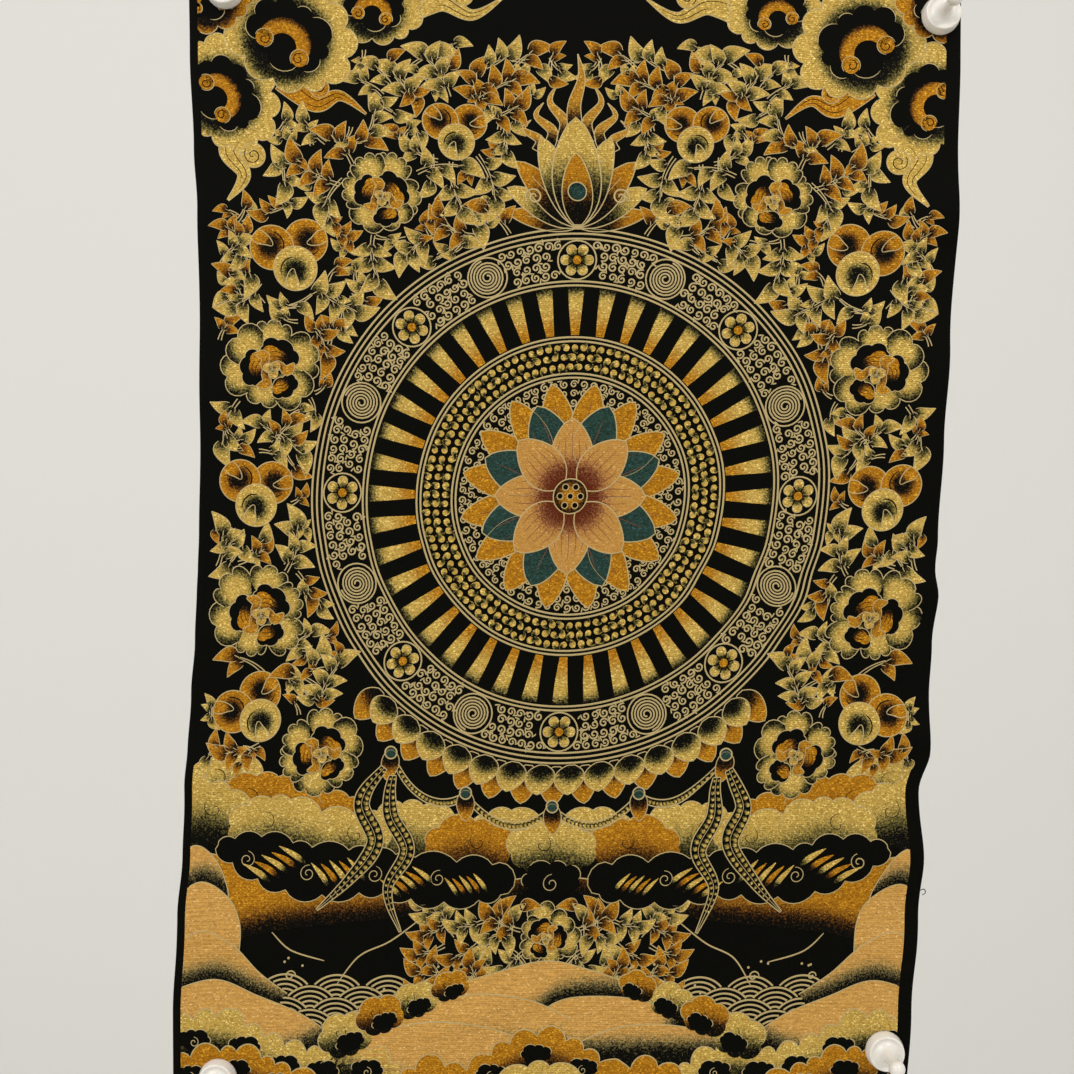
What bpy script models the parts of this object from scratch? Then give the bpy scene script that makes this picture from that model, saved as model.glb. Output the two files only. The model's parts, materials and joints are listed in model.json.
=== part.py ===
"""A woven brocade panel of the thangka kind, pinned flat to a wall by four push-pin magnets.

Metres, +Z up. The origin is the middle of the panel's top edge, level with its upper corner,
on the wall plane y = 0. The front faces -Y, and the whole object lies at y <= 0.
"""

import math
from collections import namedtuple

import bmesh
import bpy

OBJECT_NAME = "woven_thangka_panel"
MM = 0.001

# The cloth, cut 300 x 450 mm
PANEL_HEIGHT = 450 * MM
CLOTH_THICKNESS = 1.0 * MM
TOP_RIGHT_DROP = 4.0 * MM
TOP_SAG = 2.0 * MM
BOTTOM_SAG = 1.5 * MM
GRID_COLUMNS = 26
GRID_ROWS = 66

# The side edges: how far below the top, and where the cloth begins and ends across, in mm
EdgeRow = namedtuple("EdgeRow", "down left right")
EDGE_ROWS = (
    EdgeRow(0, -150.0, 151.0),
    EdgeRow(34, -149.6, 150.8),
    EdgeRow(72, -148.0, 149.8),
    EdgeRow(96, -146.4, 149.6),
    EdgeRow(146, -145.6, 146.5),
    EdgeRow(184, -145.3, 144.3),
    EdgeRow(222, -146.0, 142.0),
    EdgeRow(236, -146.4, 140.6),
    EdgeRow(245, -146.7, 141.6),
    EdgeRow(264, -147.2, 139.6),
    EdgeRow(285, -149.0, 138.4),
    EdgeRow(306, -150.2, 138.2),
    EdgeRow(322, -151.2, 134.4),
    EdgeRow(348, -152.4, 135.8),
    EdgeRow(371, -154.0, 134.2),
    EdgeRow(409, -156.2, 131.6),
    EdgeRow(450, -156.0, 129.0),
)

# Soft folds where the cloth stands off the wall: the middle of each ridge, the way it runs
# in degrees from level, its half length and half width, and its height, in mm
Fold = namedtuple("Fold", "across down turn length width height")
FOLDS = (
    # long upright waves between the magnets
    Fold(-72, 70, 84, 95, 24, 1.7),
    Fold(6, 110, 92, 120, 30, 2.1),
    Fold(78, 80, 97, 90, 24, 1.6),
    Fold(-40, 320, 95, 110, 34, 1.6),
    Fold(58, 330, 86, 100, 30, 1.8),
    # ripples that run in from the right edge
    Fold(150, 96, 8, 40, 12, 2.4),
    Fold(146, 160, -4, 45, 20, 1.1),
    Fold(142, 244, 6, 32, 8, 2.0),
    Fold(138, 304, -7, 42, 10, 2.8),
    Fold(136, 348, 4, 36, 11, 2.3),
    Fold(132, 388, -3, 30, 10, 1.2),
    # ripples that run in from the left edge
    Fold(-147, 100, -6, 38, 14, 1.0),
    Fold(-146, 168, 5, 42, 20, 1.5),
    Fold(-148, 262, -5, 40, 18, 1.3),
    Fold(-152, 318, 7, 44, 13, 2.0),
    Fold(-155, 372, -4, 40, 14, 1.6),
    # slanting creases above the bottom edge
    Fold(-34, 408, 24, 34, 5, 1.0),
    Fold(-8, 420, -14, 30, 5, 0.8),
)
FLAT_AT_MAGNET = 17 * MM
FREE_OF_MAGNET = 58 * MM

# The push-pin magnets: the middle of each, in mm from the origin
Magnet = namedtuple("Magnet", "name across down")
MAGNETS = (
    Magnet("magnet_top_left", -135.7, 10.6),
    Magnet("magnet_top_right", 142.9, 20.7),
    Magnet("magnet_bottom_left", -138.6, 434.4),
    Magnet("magnet_bottom_right", 121.0, 423.6),
)
MAGNET_GAP = 0.3 * MM
MAGNET_STEPS = 24

# Turned profile of a magnet: a tapered foot, a raised rim, a dish and a waisted neck, in mm
ProfilePoint = namedtuple("ProfilePoint", "radius height")
KNOB_CENTRE = 16.2 * MM
KNOB_RADIUS = 3.05 * MM
KNOB_ARC_POINTS = 7
KNOB_ARC_END = math.radians(-52)
BODY_PROFILE = (
    ProfilePoint(1.60, 11.6),
    ProfilePoint(1.80, 9.2),
    ProfilePoint(2.35, 7.0),
    ProfilePoint(3.25, 5.2),
    ProfilePoint(4.40, 4.1),
    ProfilePoint(5.40, 4.0),
    ProfilePoint(6.05, 4.5),
    ProfilePoint(6.55, 4.5),
    ProfilePoint(6.85, 4.0),
    ProfilePoint(7.35, 1.6),
    ProfilePoint(7.50, 0.5),
    ProfilePoint(7.20, 0.0),
    ProfilePoint(0.00, 0.0),
)


def smooth_step(low, high, value):
    """0 below low, 1 above high, and a smooth rise between them."""
    share = min(max((value - low) / (high - low), 0.0), 1.0)
    return share * share * (3 - 2 * share)


def edges_at(down):
    """Where the cloth begins and ends across, at a distance below the top, in metres."""
    down_mm = min(max(down / MM, EDGE_ROWS[0].down), EDGE_ROWS[-1].down)
    for upper, lower in zip(EDGE_ROWS, EDGE_ROWS[1:]):
        if down_mm <= lower.down:
            share = smooth_step(upper.down, lower.down, down_mm)
            left = upper.left + (lower.left - upper.left) * share
            right = upper.right + (lower.right - upper.right) * share
            return left * MM, right * MM
    return EDGE_ROWS[-1].left * MM, EDGE_ROWS[-1].right * MM


def held_flat(across, down):
    """0 where a magnet presses the cloth to the wall, 1 well away from all of them."""
    share = 1.0
    for magnet in MAGNETS:
        reach = math.hypot(across - magnet.across * MM, down - magnet.down * MM)
        share *= smooth_step(FLAT_AT_MAGNET, FREE_OF_MAGNET, reach)
    return share


def lift_at(across, down):
    """How far the cloth's back stands off the wall."""
    height = 0.0
    for fold in FOLDS:
        step_across = across - fold.across * MM
        step_down = down - fold.down * MM
        turn = math.radians(fold.turn)
        along = step_across * math.cos(turn) - step_down * math.sin(turn)
        beside = step_across * math.sin(turn) + step_down * math.cos(turn)
        along_share = along / (fold.length * MM)
        beside_share = beside / (fold.width * MM)
        height += fold.height * MM * math.exp(-along_share**2 - beside_share**2)
    return height * held_flat(across, down)


def cloth_point(u, v):
    """A point on the cloth's back: u runs 0 to 1 from left to right, v 0 to 1 from top down."""
    left, right = edges_at(v * PANEL_HEIGHT)
    across = left + (right - left) * u
    bow = math.sin(math.pi * u)
    top = TOP_RIGHT_DROP * u + TOP_SAG * bow
    bottom = PANEL_HEIGHT + BOTTOM_SAG * bow
    down = top + (bottom - top) * v
    return across, -lift_at(across, down), -down


def plain_material(name, colour, roughness, metallic=0.0):
    material = bpy.data.materials.new(name)
    material.use_nodes = True
    shader = material.node_tree.nodes["Principled BSDF"]
    shader.inputs["Base Color"].default_value = (*colour, 1.0)
    shader.inputs["Roughness"].default_value = roughness
    shader.inputs["Metallic"].default_value = metallic
    return material


def move_to_collection(part, collection):
    for old in list(part.users_collection):
        old.objects.unlink(part)
    collection.objects.link(part)


def add_woven_panel(collection):
    """The cloth: a grid laid on the folds, given its thickness towards the front."""
    bpy.ops.mesh.primitive_grid_add(
        x_subdivisions=GRID_COLUMNS, y_subdivisions=GRID_ROWS, size=1.0
    )
    panel = bpy.context.object
    panel.name = "woven_panel"
    move_to_collection(panel, collection)
    for vertex in panel.data.vertices:
        vertex.co = cloth_point(vertex.co.x + 0.5, 0.5 - vertex.co.y)
    thickness = panel.modifiers.new("Thickness", "SOLIDIFY")
    thickness.thickness = CLOTH_THICKNESS
    thickness.offset = 1.0
    panel.data.materials.append(plain_material("black_gold_brocade", (0.10, 0.075, 0.03), 0.6, 0.2))
    panel.data.shade_smooth()
    return panel


def magnet_profile():
    """Radius and height of each point of a magnet's outline, from the knob's top to the foot."""
    points = []
    for step in range(KNOB_ARC_POINTS + 1):
        share = step / KNOB_ARC_POINTS
        angle = math.pi / 2 + (KNOB_ARC_END - math.pi / 2) * share
        radius = KNOB_RADIUS * math.cos(angle) if step else 0.0
        points.append((radius, KNOB_CENTRE + KNOB_RADIUS * math.sin(angle)))
    points += [(row.radius * MM, row.height * MM) for row in BODY_PROFILE]
    return points


def add_magnet(place, collection, material):
    """One push-pin magnet, turned about its own axis, its foot 0.3 mm off the cloth's front."""
    mesh = bpy.data.meshes.new(place.name)
    outline = bmesh.new()
    ring = [outline.verts.new((radius, 0.0, height)) for radius, height in magnet_profile()]
    for upper, lower in zip(ring, ring[1:]):
        outline.edges.new((upper, lower))
    outline.to_mesh(mesh)
    outline.free()
    magnet = bpy.data.objects.new(place.name, mesh)
    collection.objects.link(magnet)
    turned = magnet.modifiers.new("Turned", "SCREW")
    turned.axis = "Z"
    turned.angle = math.tau
    turned.steps = MAGNET_STEPS
    turned.render_steps = MAGNET_STEPS
    turned.use_merge_vertices = True
    turned.merge_threshold = 0.00001
    turned.use_smooth_shade = True
    magnet.rotation_euler = (math.radians(90), 0.0, 0.0)
    magnet.location = (place.across * MM, -CLOTH_THICKNESS - MAGNET_GAP, -place.down * MM)
    mesh.materials.append(material)
    return magnet


def main():
    for old in list(bpy.data.objects):
        bpy.data.objects.remove(old, do_unlink=True)
    collection = bpy.data.collections.new(OBJECT_NAME)
    bpy.context.scene.collection.children.link(collection)
    add_woven_panel(collection)
    white = plain_material("white_plastic", (0.80, 0.76, 0.69), 0.28)
    for place in MAGNETS:
        add_magnet(place, collection, white)


main()
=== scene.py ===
"""The looks of a woven brocade panel of the thangka kind, held to a wall by four push-pin magnets.

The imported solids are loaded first. Each operator then adds its own pieces round them: the satin
ground, the woven motifs that stand a little proud of it, the magnets and the stage. The picture
is a generic mandala with foliage, clouds, waves and hills, drawn flat in millimetres and then
laid on the cloth's folds.
"""

import math
import random
import json
from collections import namedtuple

import bpy
import numpy as np
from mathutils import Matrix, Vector
from mathutils.geometry import delaunay_2d_cdt

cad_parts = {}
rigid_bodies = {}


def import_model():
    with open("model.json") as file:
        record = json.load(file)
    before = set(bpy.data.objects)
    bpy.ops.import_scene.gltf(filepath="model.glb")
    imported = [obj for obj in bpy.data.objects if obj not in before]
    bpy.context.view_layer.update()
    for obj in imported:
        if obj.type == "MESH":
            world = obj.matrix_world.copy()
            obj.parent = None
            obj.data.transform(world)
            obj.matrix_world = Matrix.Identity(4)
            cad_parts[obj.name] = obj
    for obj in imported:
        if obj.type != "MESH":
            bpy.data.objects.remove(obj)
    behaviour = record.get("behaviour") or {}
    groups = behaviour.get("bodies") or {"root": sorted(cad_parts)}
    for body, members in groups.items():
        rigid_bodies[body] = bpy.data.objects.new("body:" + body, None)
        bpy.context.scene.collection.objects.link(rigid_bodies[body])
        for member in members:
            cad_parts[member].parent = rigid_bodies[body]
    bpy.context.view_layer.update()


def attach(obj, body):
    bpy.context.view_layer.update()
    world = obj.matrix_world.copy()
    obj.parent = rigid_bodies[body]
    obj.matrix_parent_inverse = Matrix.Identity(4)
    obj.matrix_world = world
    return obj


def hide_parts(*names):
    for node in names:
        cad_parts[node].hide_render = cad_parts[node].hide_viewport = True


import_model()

bl_info = {
    "name": "Woven thangka panel",
    "version": (1, 0, 0),
    "blender": (4, 5, 0),
    "location": "View3D > Sidebar > Thangka",
    "description": "Weaves a black and gold brocade panel and pins it up with magnets",
    "category": "Object",
}

MM = 0.001

# The cloth, as cut and as it hangs. These repeat the sizes of the solid.
FLAT_WIDTH = 300.0
FLAT_HEIGHT = 450.0
TOP_RIGHT_DROP = 4.0
TOP_SAG = 2.0
BOTTOM_SAG = 1.5
# Each row: the distance below the top, and where the left and right edges are there
EDGE_ROWS = np.array([
    (0, -150.0, 151.0), (34, -149.6, 150.8), (72, -148.0, 149.8), (96, -146.4, 149.6),
    (146, -145.6, 146.5), (184, -145.3, 144.3), (222, -146.0, 142.0), (236, -146.4, 140.6),
    (245, -146.7, 141.6), (264, -147.2, 139.6), (285, -149.0, 138.4), (306, -150.2, 138.2),
    (322, -151.2, 134.4), (348, -152.4, 135.8), (371, -154.0, 134.2), (409, -156.2, 131.6),
    (450, -156.0, 129.0),
])
Fold = namedtuple("Fold", "across down turn length width height")
FOLDS = [Fold(*row) for row in (
    (-72, 70, 84, 95, 24, 1.7), (6, 110, 92, 120, 30, 2.1), (78, 80, 97, 90, 24, 1.6),
    (-40, 320, 95, 110, 34, 1.6), (58, 330, 86, 100, 30, 1.8), (150, 96, 8, 40, 12, 2.4),
    (146, 160, -4, 45, 20, 1.1), (142, 244, 6, 32, 8, 2.0), (138, 304, -7, 42, 10, 2.8),
    (136, 348, 4, 36, 11, 2.3), (132, 388, -3, 30, 10, 1.2), (-147, 100, -6, 38, 14, 1.0),
    (-146, 168, 5, 42, 20, 1.5), (-148, 262, -5, 40, 18, 1.3), (-152, 318, 7, 44, 13, 2.0),
    (-155, 372, -4, 40, 14, 1.6), (-34, 408, 24, 34, 5, 1.0), (-8, 420, -14, 30, 5, 0.8),
)]
FLAT_AT_MAGNET = 17.0
FREE_OF_MAGNET = 58.0
Magnet = namedtuple("Magnet", "node across down")
MAGNETS = (
    Magnet("magnet_top_left", -135.7, 10.6),
    Magnet("magnet_top_right", 142.9, 20.7),
    Magnet("magnet_bottom_left", -138.6, 434.4),
    Magnet("magnet_bottom_right", 121.0, 423.6),
)
MAGNET_FOOT = 1.3

# How far the ground's back and front stand off the cloth's back plane
GROUND_BACK = 0.15
GROUND_FRONT = 0.85

# The picture ends in a straight line beside each selvedge, on the flat cut
PICTURE_LEFT, PICTURE_RIGHT = -147.0, 144.6
PICTURE_BOTTOM, PICTURE_TOP = -447.0, -3.0

# Heights of the woven floats over the ground
FIRST_FLOAT = 0.09
FLOAT_STEP = 0.02
FLOAT_ROOT = -0.08
THREAD_SUNK = 0.045
THREAD_PROUD = 0.016

# Points on one span of a smooth path, one lobe of a scalloped one and round an oval
SPAN_POINTS = 16
LOBE_POINTS = 9
OVAL_POINTS = 12
LOBE_UNEVENNESS = 0.4

# Inner points of a filled shape: the step between their rows and their least gap to its rim,
# both as shares of the pitch
ROW_STEP = 0.87
RIM_GAP = 0.4


def linear(red, green, blue):
    """A colour given as 0 to 255 display numbers, as the light values that shaders use."""
    return tuple((value / 255) ** 2.2 for value in (red, green, blue))


# Cloth and its folds


def smooth_step(low, high, value):
    share = np.clip((value - low) / (high - low), 0.0, 1.0)
    return share * share * (3 - 2 * share)


def edges_at(down):
    """Where the cloth begins and ends across, for an array of distances below the top."""
    steps, sides = EDGE_ROWS[:, 0], EDGE_ROWS[:, 1:]
    down = np.clip(down, steps[0], steps[-1])
    lower = np.clip(np.searchsorted(steps, down), 1, len(steps) - 1)
    upper = lower - 1
    share = smooth_step(steps[upper], steps[lower], down)[:, None]
    return (sides[upper] + (sides[lower] - sides[upper]) * share).T


def lift_at(across, down):
    """How far the cloth's back stands off the wall, for arrays of places."""
    height = np.zeros(len(across))
    for fold in FOLDS:
        cosine, sine = math.cos(math.radians(fold.turn)), math.sin(math.radians(fold.turn))
        along = (across - fold.across) * cosine - (down - fold.down) * sine
        beside = (across - fold.across) * sine + (down - fold.down) * cosine
        height += fold.height * np.exp(-((along / fold.length) ** 2) - (beside / fold.width) ** 2)
    for magnet in MAGNETS:
        reach = np.hypot(across - magnet.across, down - magnet.down)
        height *= smooth_step(FLAT_AT_MAGNET, FREE_OF_MAGNET, reach)
    return height


def on_cloth(points):
    """Points of the flat design, as across, up and height in mm, laid on the hanging cloth."""
    u = points[:, 0] / FLAT_WIDTH + 0.5
    v = -points[:, 1] / FLAT_HEIGHT
    left, right = edges_at(v * FLAT_HEIGHT)
    across = left + (right - left) * u
    bow = np.sin(math.pi * np.clip(u, 0.0, 1.0))
    top = TOP_RIGHT_DROP * u + TOP_SAG * bow
    down = top + (FLAT_HEIGHT + BOTTOM_SAG * bow - top) * v
    out = lift_at(across, down) + GROUND_FRONT + points[:, 2]
    return np.stack([across, -out, -down], axis=1) * MM


# Flat drawing


def placed(points, at, size, turn):
    """Points scaled, turned by degrees and moved."""
    cosine, sine = math.cos(math.radians(turn)), math.sin(math.radians(turn))
    return np.asarray(points, float) * size @ np.array([[cosine, sine], [-sine, cosine]]) + at


def polar(radius, degrees):
    angle = np.radians(degrees)
    return np.stack([radius * np.cos(angle), radius * np.sin(angle)], axis=-1)


def arc(centre, radius, start, end, count):
    return np.asarray(centre) + polar(radius, np.linspace(start, end, count))


def spiral(centre, outer, inner, turns, start, sense, count):
    """A spiral from its outer end to its middle."""
    share = np.linspace(0.0, 1.0, count)
    radius = outer + (inner - outer) * share
    return np.asarray(centre) + polar(radius, start + sense * turns * 360 * share)


def resampled(path, at):
    """Points of a path at fractional places along its list."""
    return np.stack([np.interp(at, np.arange(len(path)), axis) for axis in path.T], axis=1)


def smooth_path(controls, count, closed=False):
    """Evenly spaced points on a smooth curve through control points."""
    controls = np.asarray(controls, float)
    total = len(controls)
    t = np.linspace(0.0, 1.0, SPAN_POINTS, endpoint=False)[:, None]
    fine = []
    for span in range(total if closed else total - 1):
        picks = np.arange(span - 1, span + 3)
        before, start, end, after = controls[
            picks % total if closed else np.clip(picks, 0, total - 1)
        ]
        square = (2 * before - 5 * start + 4 * end - after) * t**2
        cube = (3 * start - before - 3 * end + after) * t**3
        fine.append(0.5 * (2 * start + (end - before) * t + square + cube))
    fine = np.concatenate(fine + [controls[:1] if closed else controls[-1:]])
    reach = np.concatenate([[0.0], np.cumsum(np.hypot(*np.diff(fine, axis=0).T))])
    wanted = np.linspace(0.0, reach[-1], count, endpoint=not closed)
    return np.stack([np.interp(wanted, reach, axis) for axis in fine.T], axis=1)


def straight(start, end, pitch=4.0):
    start, end = np.asarray(start, float), np.asarray(end, float)
    count = int(np.hypot(*(end - start)) / pitch) + 2
    return start + (end - start) * np.linspace(0.0, 1.0, count)[:, None]


def side_normals(points, closed=False):
    """The unit normal on the left of each point's way along a path."""
    if closed:
        step = np.roll(points, -1, axis=0) - np.roll(points, 1, axis=0)
    else:
        step = np.gradient(points, axis=0)
    step /= np.maximum(np.hypot(*step.T), 1e-9)[:, None]
    return np.stack([-step[:, 1], step[:, 0]], axis=1)


def scalloped(controls, lobes, depth, closed=True, each=LOBE_POINTS):
    """A smooth path through control points with uneven round lobes on its right."""
    draw = random.Random(lobes)
    least, most = 1 - LOBE_UNEVENNESS, 1 + LOBE_UNEVENNESS
    broad = np.array([draw.uniform(least, most) for lobe in range(lobes)])
    ends = np.concatenate([[0.0], np.cumsum(broad)]) / broad.sum()
    step = np.arange(lobes * each + (0 if closed else 1)) / each
    smooth = smooth_path(controls, lobes * 12, closed)
    if closed:
        smooth = np.concatenate([smooth, smooth[:1]])
    path = resampled(smooth, np.interp(step, np.arange(lobes + 1), ends) * (len(smooth) - 1))
    size = broad[np.minimum(step.astype(int), lobes - 1)]
    bump = depth * size * np.abs(np.sin(math.pi * step)) ** 0.75
    return path - side_normals(path, closed) * bump[:, None]


def oval(width, height):
    """Control points round an upright oval, anticlockwise."""
    return polar(0.5, np.linspace(0, 360, OVAL_POINTS, endpoint=False)) * (width, height)


def tapered(path, widths):
    """The outline of a band that follows a path and has a width at each point."""
    side = side_normals(path) * (np.asarray(widths) / 2)[:, None]
    return np.concatenate([path - side, (path + side)[::-1]])


def cut_at(outline, limit, keep_below, axis):
    """An outline with all that lies beyond a straight line cut away."""
    sign = 1 if keep_below else -1
    kept = []
    for start, end in zip(outline, np.roll(outline, -1, axis=0)):
        gap_start, gap_end = sign * (limit - start[axis]), sign * (limit - end[axis])
        if gap_start >= 0:
            kept.append(start)
        if (gap_start >= 0) != (gap_end >= 0):
            kept.append(start + (end - start) * gap_start / (gap_start - gap_end))
    return np.array(kept)


def within_picture(outline):
    """What lies inside the picture, with points added on long edges so that they follow folds."""
    for limit, keep_below, axis in (
        (PICTURE_LEFT, False, 0), (PICTURE_RIGHT, True, 0), (PICTURE_TOP, True, 1),
        (PICTURE_BOTTOM, False, 1),
    ):
        if len(outline) > 2:
            outline = cut_at(outline, limit, keep_below, axis)
    if len(outline) < 3:
        return outline
    sides = zip(outline, np.roll(outline, -1, axis=0))
    return np.concatenate([straight(start, end)[:-1] for start, end in sides])


def inside(points, outline):
    """Whether each point lies inside a closed outline."""
    x, y = points[:, 0, None], points[:, 1, None]
    ax, ay = outline.T
    bx, by = np.roll(ax, -1), np.roll(ay, -1)
    rise = np.where(by == ay, 1e-12, by - ay)
    crossed = ((ay > y) != (by > y)) & (x < (bx - ax) * (y - ay) / rise + ax)
    return crossed.sum(axis=1) % 2 == 1


def triangulated(outline, pitch):
    """Points and triangles that fill an outline, with inner points about a pitch apart."""
    low, high = outline.min(axis=0), outline.max(axis=0)
    columns = np.arange(low[0] + pitch / 2, high[0], pitch)
    rows = np.arange(low[1] + pitch / 2, high[1], pitch * ROW_STEP)
    grid = [(x + pitch / 2 * (row % 2), y) for row, y in enumerate(rows) for x in columns]
    points = outline
    if grid:
        grid = np.array(grid)
        grid = grid[inside(grid, outline)]
        if len(grid):
            gaps = np.hypot(*(grid[:, None] - outline[None]).transpose(2, 0, 1))
            points = np.concatenate([outline, grid[gaps.min(axis=1) > pitch * RIM_GAP]])
    rim = [list(range(len(outline)))]
    made = delaunay_2d_cdt([tuple(point) for point in points], [], rim, 1, 1e-4)
    return np.array([tuple(point) for point in made[0]]), [tuple(face) for face in made[2]]


def raised(flat, height):
    """Flat points with one height added to them."""
    return np.column_stack([flat, np.full(len(flat), height)])


def add_values(mesh, name, values):
    """Gives each point of a mesh its own number."""
    held = mesh.attributes.new(name, "FLOAT", "POINT")
    held.data.foreach_set("value", np.asarray(values, np.float32))


class Tray:
    """Gathers the closed floats and threads of one finish, drawn flat in millimetres.

    A paired tray adds the mirror image of each shape across the panel's middle line.
    """

    def __init__(self, clipped=True, paired=False):
        self.clipped = clipped
        self.sides = (1, -1) if paired else (1,)
        self.points, self.faces, self.shade, self.warm = [], [], [], []
        self.count = 0

    def add(self, points, faces, shade, warm):
        self.points.append(points)
        self.faces += [tuple(self.count + k for k in face) for face in faces]
        self.shade.append(shade)
        self.warm.append(warm)
        self.count += len(points)

    def plate(self, outline, level=0, shade=1.0, warm=0.0, pitch=2.6):
        """A filled shape with a front, a back and walls. shade and warm may be functions."""
        for side in self.sides:
            drawn = np.asarray(outline, float) * (side, 1)
            if self.clipped:
                drawn = within_picture(drawn)
            flat, triangles = triangulated(drawn, pitch) if len(drawn) > 2 else (drawn, [])
            if not triangles:
                continue
            total = len(flat)
            top = FIRST_FLOAT + FLOAT_STEP * level
            faces = triangles + [(c + total, b + total, a + total) for a, b, c in triangles]
            rim = {}
            for a, b, c in triangles:
                for edge in ((a, b), (b, c), (c, a)):
                    if not rim.pop(edge[::-1], None):
                        rim[edge] = True
            faces += [(a, a + total, b + total, b) for a, b in rim]
            place = flat * (side, 1)
            values = [
                np.tile(value(place) if callable(value) else np.full(total, value), 2)
                for value in (shade, warm)
            ]
            points = np.concatenate([raised(flat, top), raised(flat, FLOAT_ROOT)])
            self.add(points, faces, *values)

    def thread(self, path, width, level=0, taper=0.0):
        """A raised thread along a path. taper is the share of its width lost at the ends."""
        for side in self.sides:
            drawn = np.asarray(path, float) * (side, 1)
            keep = np.ones(len(drawn), bool)
            if self.clipped:
                keep = (drawn[:, 0] > PICTURE_LEFT) & (drawn[:, 0] < PICTURE_RIGHT)
                keep &= (drawn[:, 1] > PICTURE_BOTTOM) & (drawn[:, 1] < PICTURE_TOP)
            runs = np.flatnonzero(np.diff(np.concatenate([[0], keep, [0]])))
            for start, end in zip(runs[::2], runs[1::2]):
                if end - start > 1:
                    self.whole_thread(drawn[start:end], width, level, taper)

    def whole_thread(self, path, width, level, taper):
        """A closed shape whose ridge runs over the middle of a flat foot."""
        total = len(path)
        share = np.linspace(-1.0, 1.0, total)
        side = side_normals(path) * (width / 2 * (1 - taper * share**4))[:, None]
        base = FIRST_FLOAT + FLOAT_STEP * level - THREAD_SUNK
        ridge = base + THREAD_SUNK + THREAD_PROUD
        points = [raised(path + side, base), raised(path - side, base), raised(path, ridge)]
        faces = [(0, total, 2 * total), (2 * total - 1, total - 1, 3 * total - 1)]
        for left in range(total - 1):
            right, crest = left + total, left + 2 * total
            faces.append((crest, right, right + 1, crest + 1))
            faces.append((left, crest, crest + 1, left + 1))
            faces.append((right, left, left + 1, right + 1))
        self.add(np.concatenate(points), faces, np.ones(3 * total), np.zeros(3 * total))

    def mesh(self, name, own_warmth=False):
        """The gathered shapes as a mesh, still flat, with their shade and, if asked, warmth."""
        mesh = bpy.data.meshes.new(name)
        points = np.concatenate(self.points)
        flat = np.stack([points[:, 0], -points[:, 2], points[:, 1]], axis=1)
        mesh.from_pydata(flat.tolist(), [], self.faces)
        add_values(mesh, "shade", np.concatenate(self.shade))
        if own_warmth:
            add_values(mesh, "warm", np.concatenate(self.warm))
        return mesh


def laid_on_cloth(mesh):
    """Moves a flat mesh's points on to the cloth's folds, and maps it for its weave."""
    flat = np.empty(len(mesh.vertices) * 3, np.float32)
    mesh.vertices.foreach_get("co", flat)
    flat = flat.reshape(-1, 3).astype(float)
    laid = on_cloth(np.stack([flat[:, 0], flat[:, 2], -flat[:, 1]], axis=1))
    mesh.vertices.foreach_set("co", laid.astype(np.float32).ravel())
    add_front_map(mesh, laid)
    mesh.update()
    return mesh


def add_front_map(mesh, places):
    """A UV map that looks at the piece from the front and fills the square."""
    seen = places[:, (0, 2)]
    low, high = seen.min(axis=0), seen.max(axis=0)
    spread = (seen - low) / np.maximum(high - low, 1e-6)
    corners = np.empty(len(mesh.loops), np.int32)
    mesh.loops.foreach_get("vertex_index", corners)
    while mesh.uv_layers:
        mesh.uv_layers.remove(mesh.uv_layers[0])
    layer = mesh.uv_layers.new(name="OFBake", do_init=False)
    layer.uv.foreach_set("vector", spread[corners].astype(np.float32).ravel())


def linked(name, data):
    """A new object in the scene."""
    made = bpy.data.objects.new(name, data)
    bpy.context.scene.collection.objects.link(made)
    return made


def add_piece(name, mesh, finish, slot="brocade"):
    """Links a finished mesh as a piece that rides on the panel."""
    mesh.materials.clear()
    mesh.materials.append(finished(finish))
    piece = linked(name, mesh)
    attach(piece, "root")
    piece["woven"] = slot == "brocade"
    return piece


def weave(name, tray, finish):
    """Lays a tray's shapes on the cloth as one piece."""
    if not tray.points:
        raise RuntimeError(f"{name} has no shapes")
    return add_piece(name, laid_on_cloth(tray.mesh(name, True)), finish)


# Geometry Nodes that set one motif on many points


def feed(tree, socket, value):
    """Links a socket to another node's output, or gives it a value."""
    if isinstance(value, bpy.types.NodeSocket):
        tree.links.new(value, socket)
    else:
        socket.default_value = value


def add_node(tree, kind, settings, inputs):
    """A node with its settings made first, then the values or links of its inputs."""
    made = tree.nodes.new(kind)
    for name, value in settings.items():
        setattr(made, name, value)
    for key, value in inputs.items():
        feed(tree, made.inputs[key], value)
    return made


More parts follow.
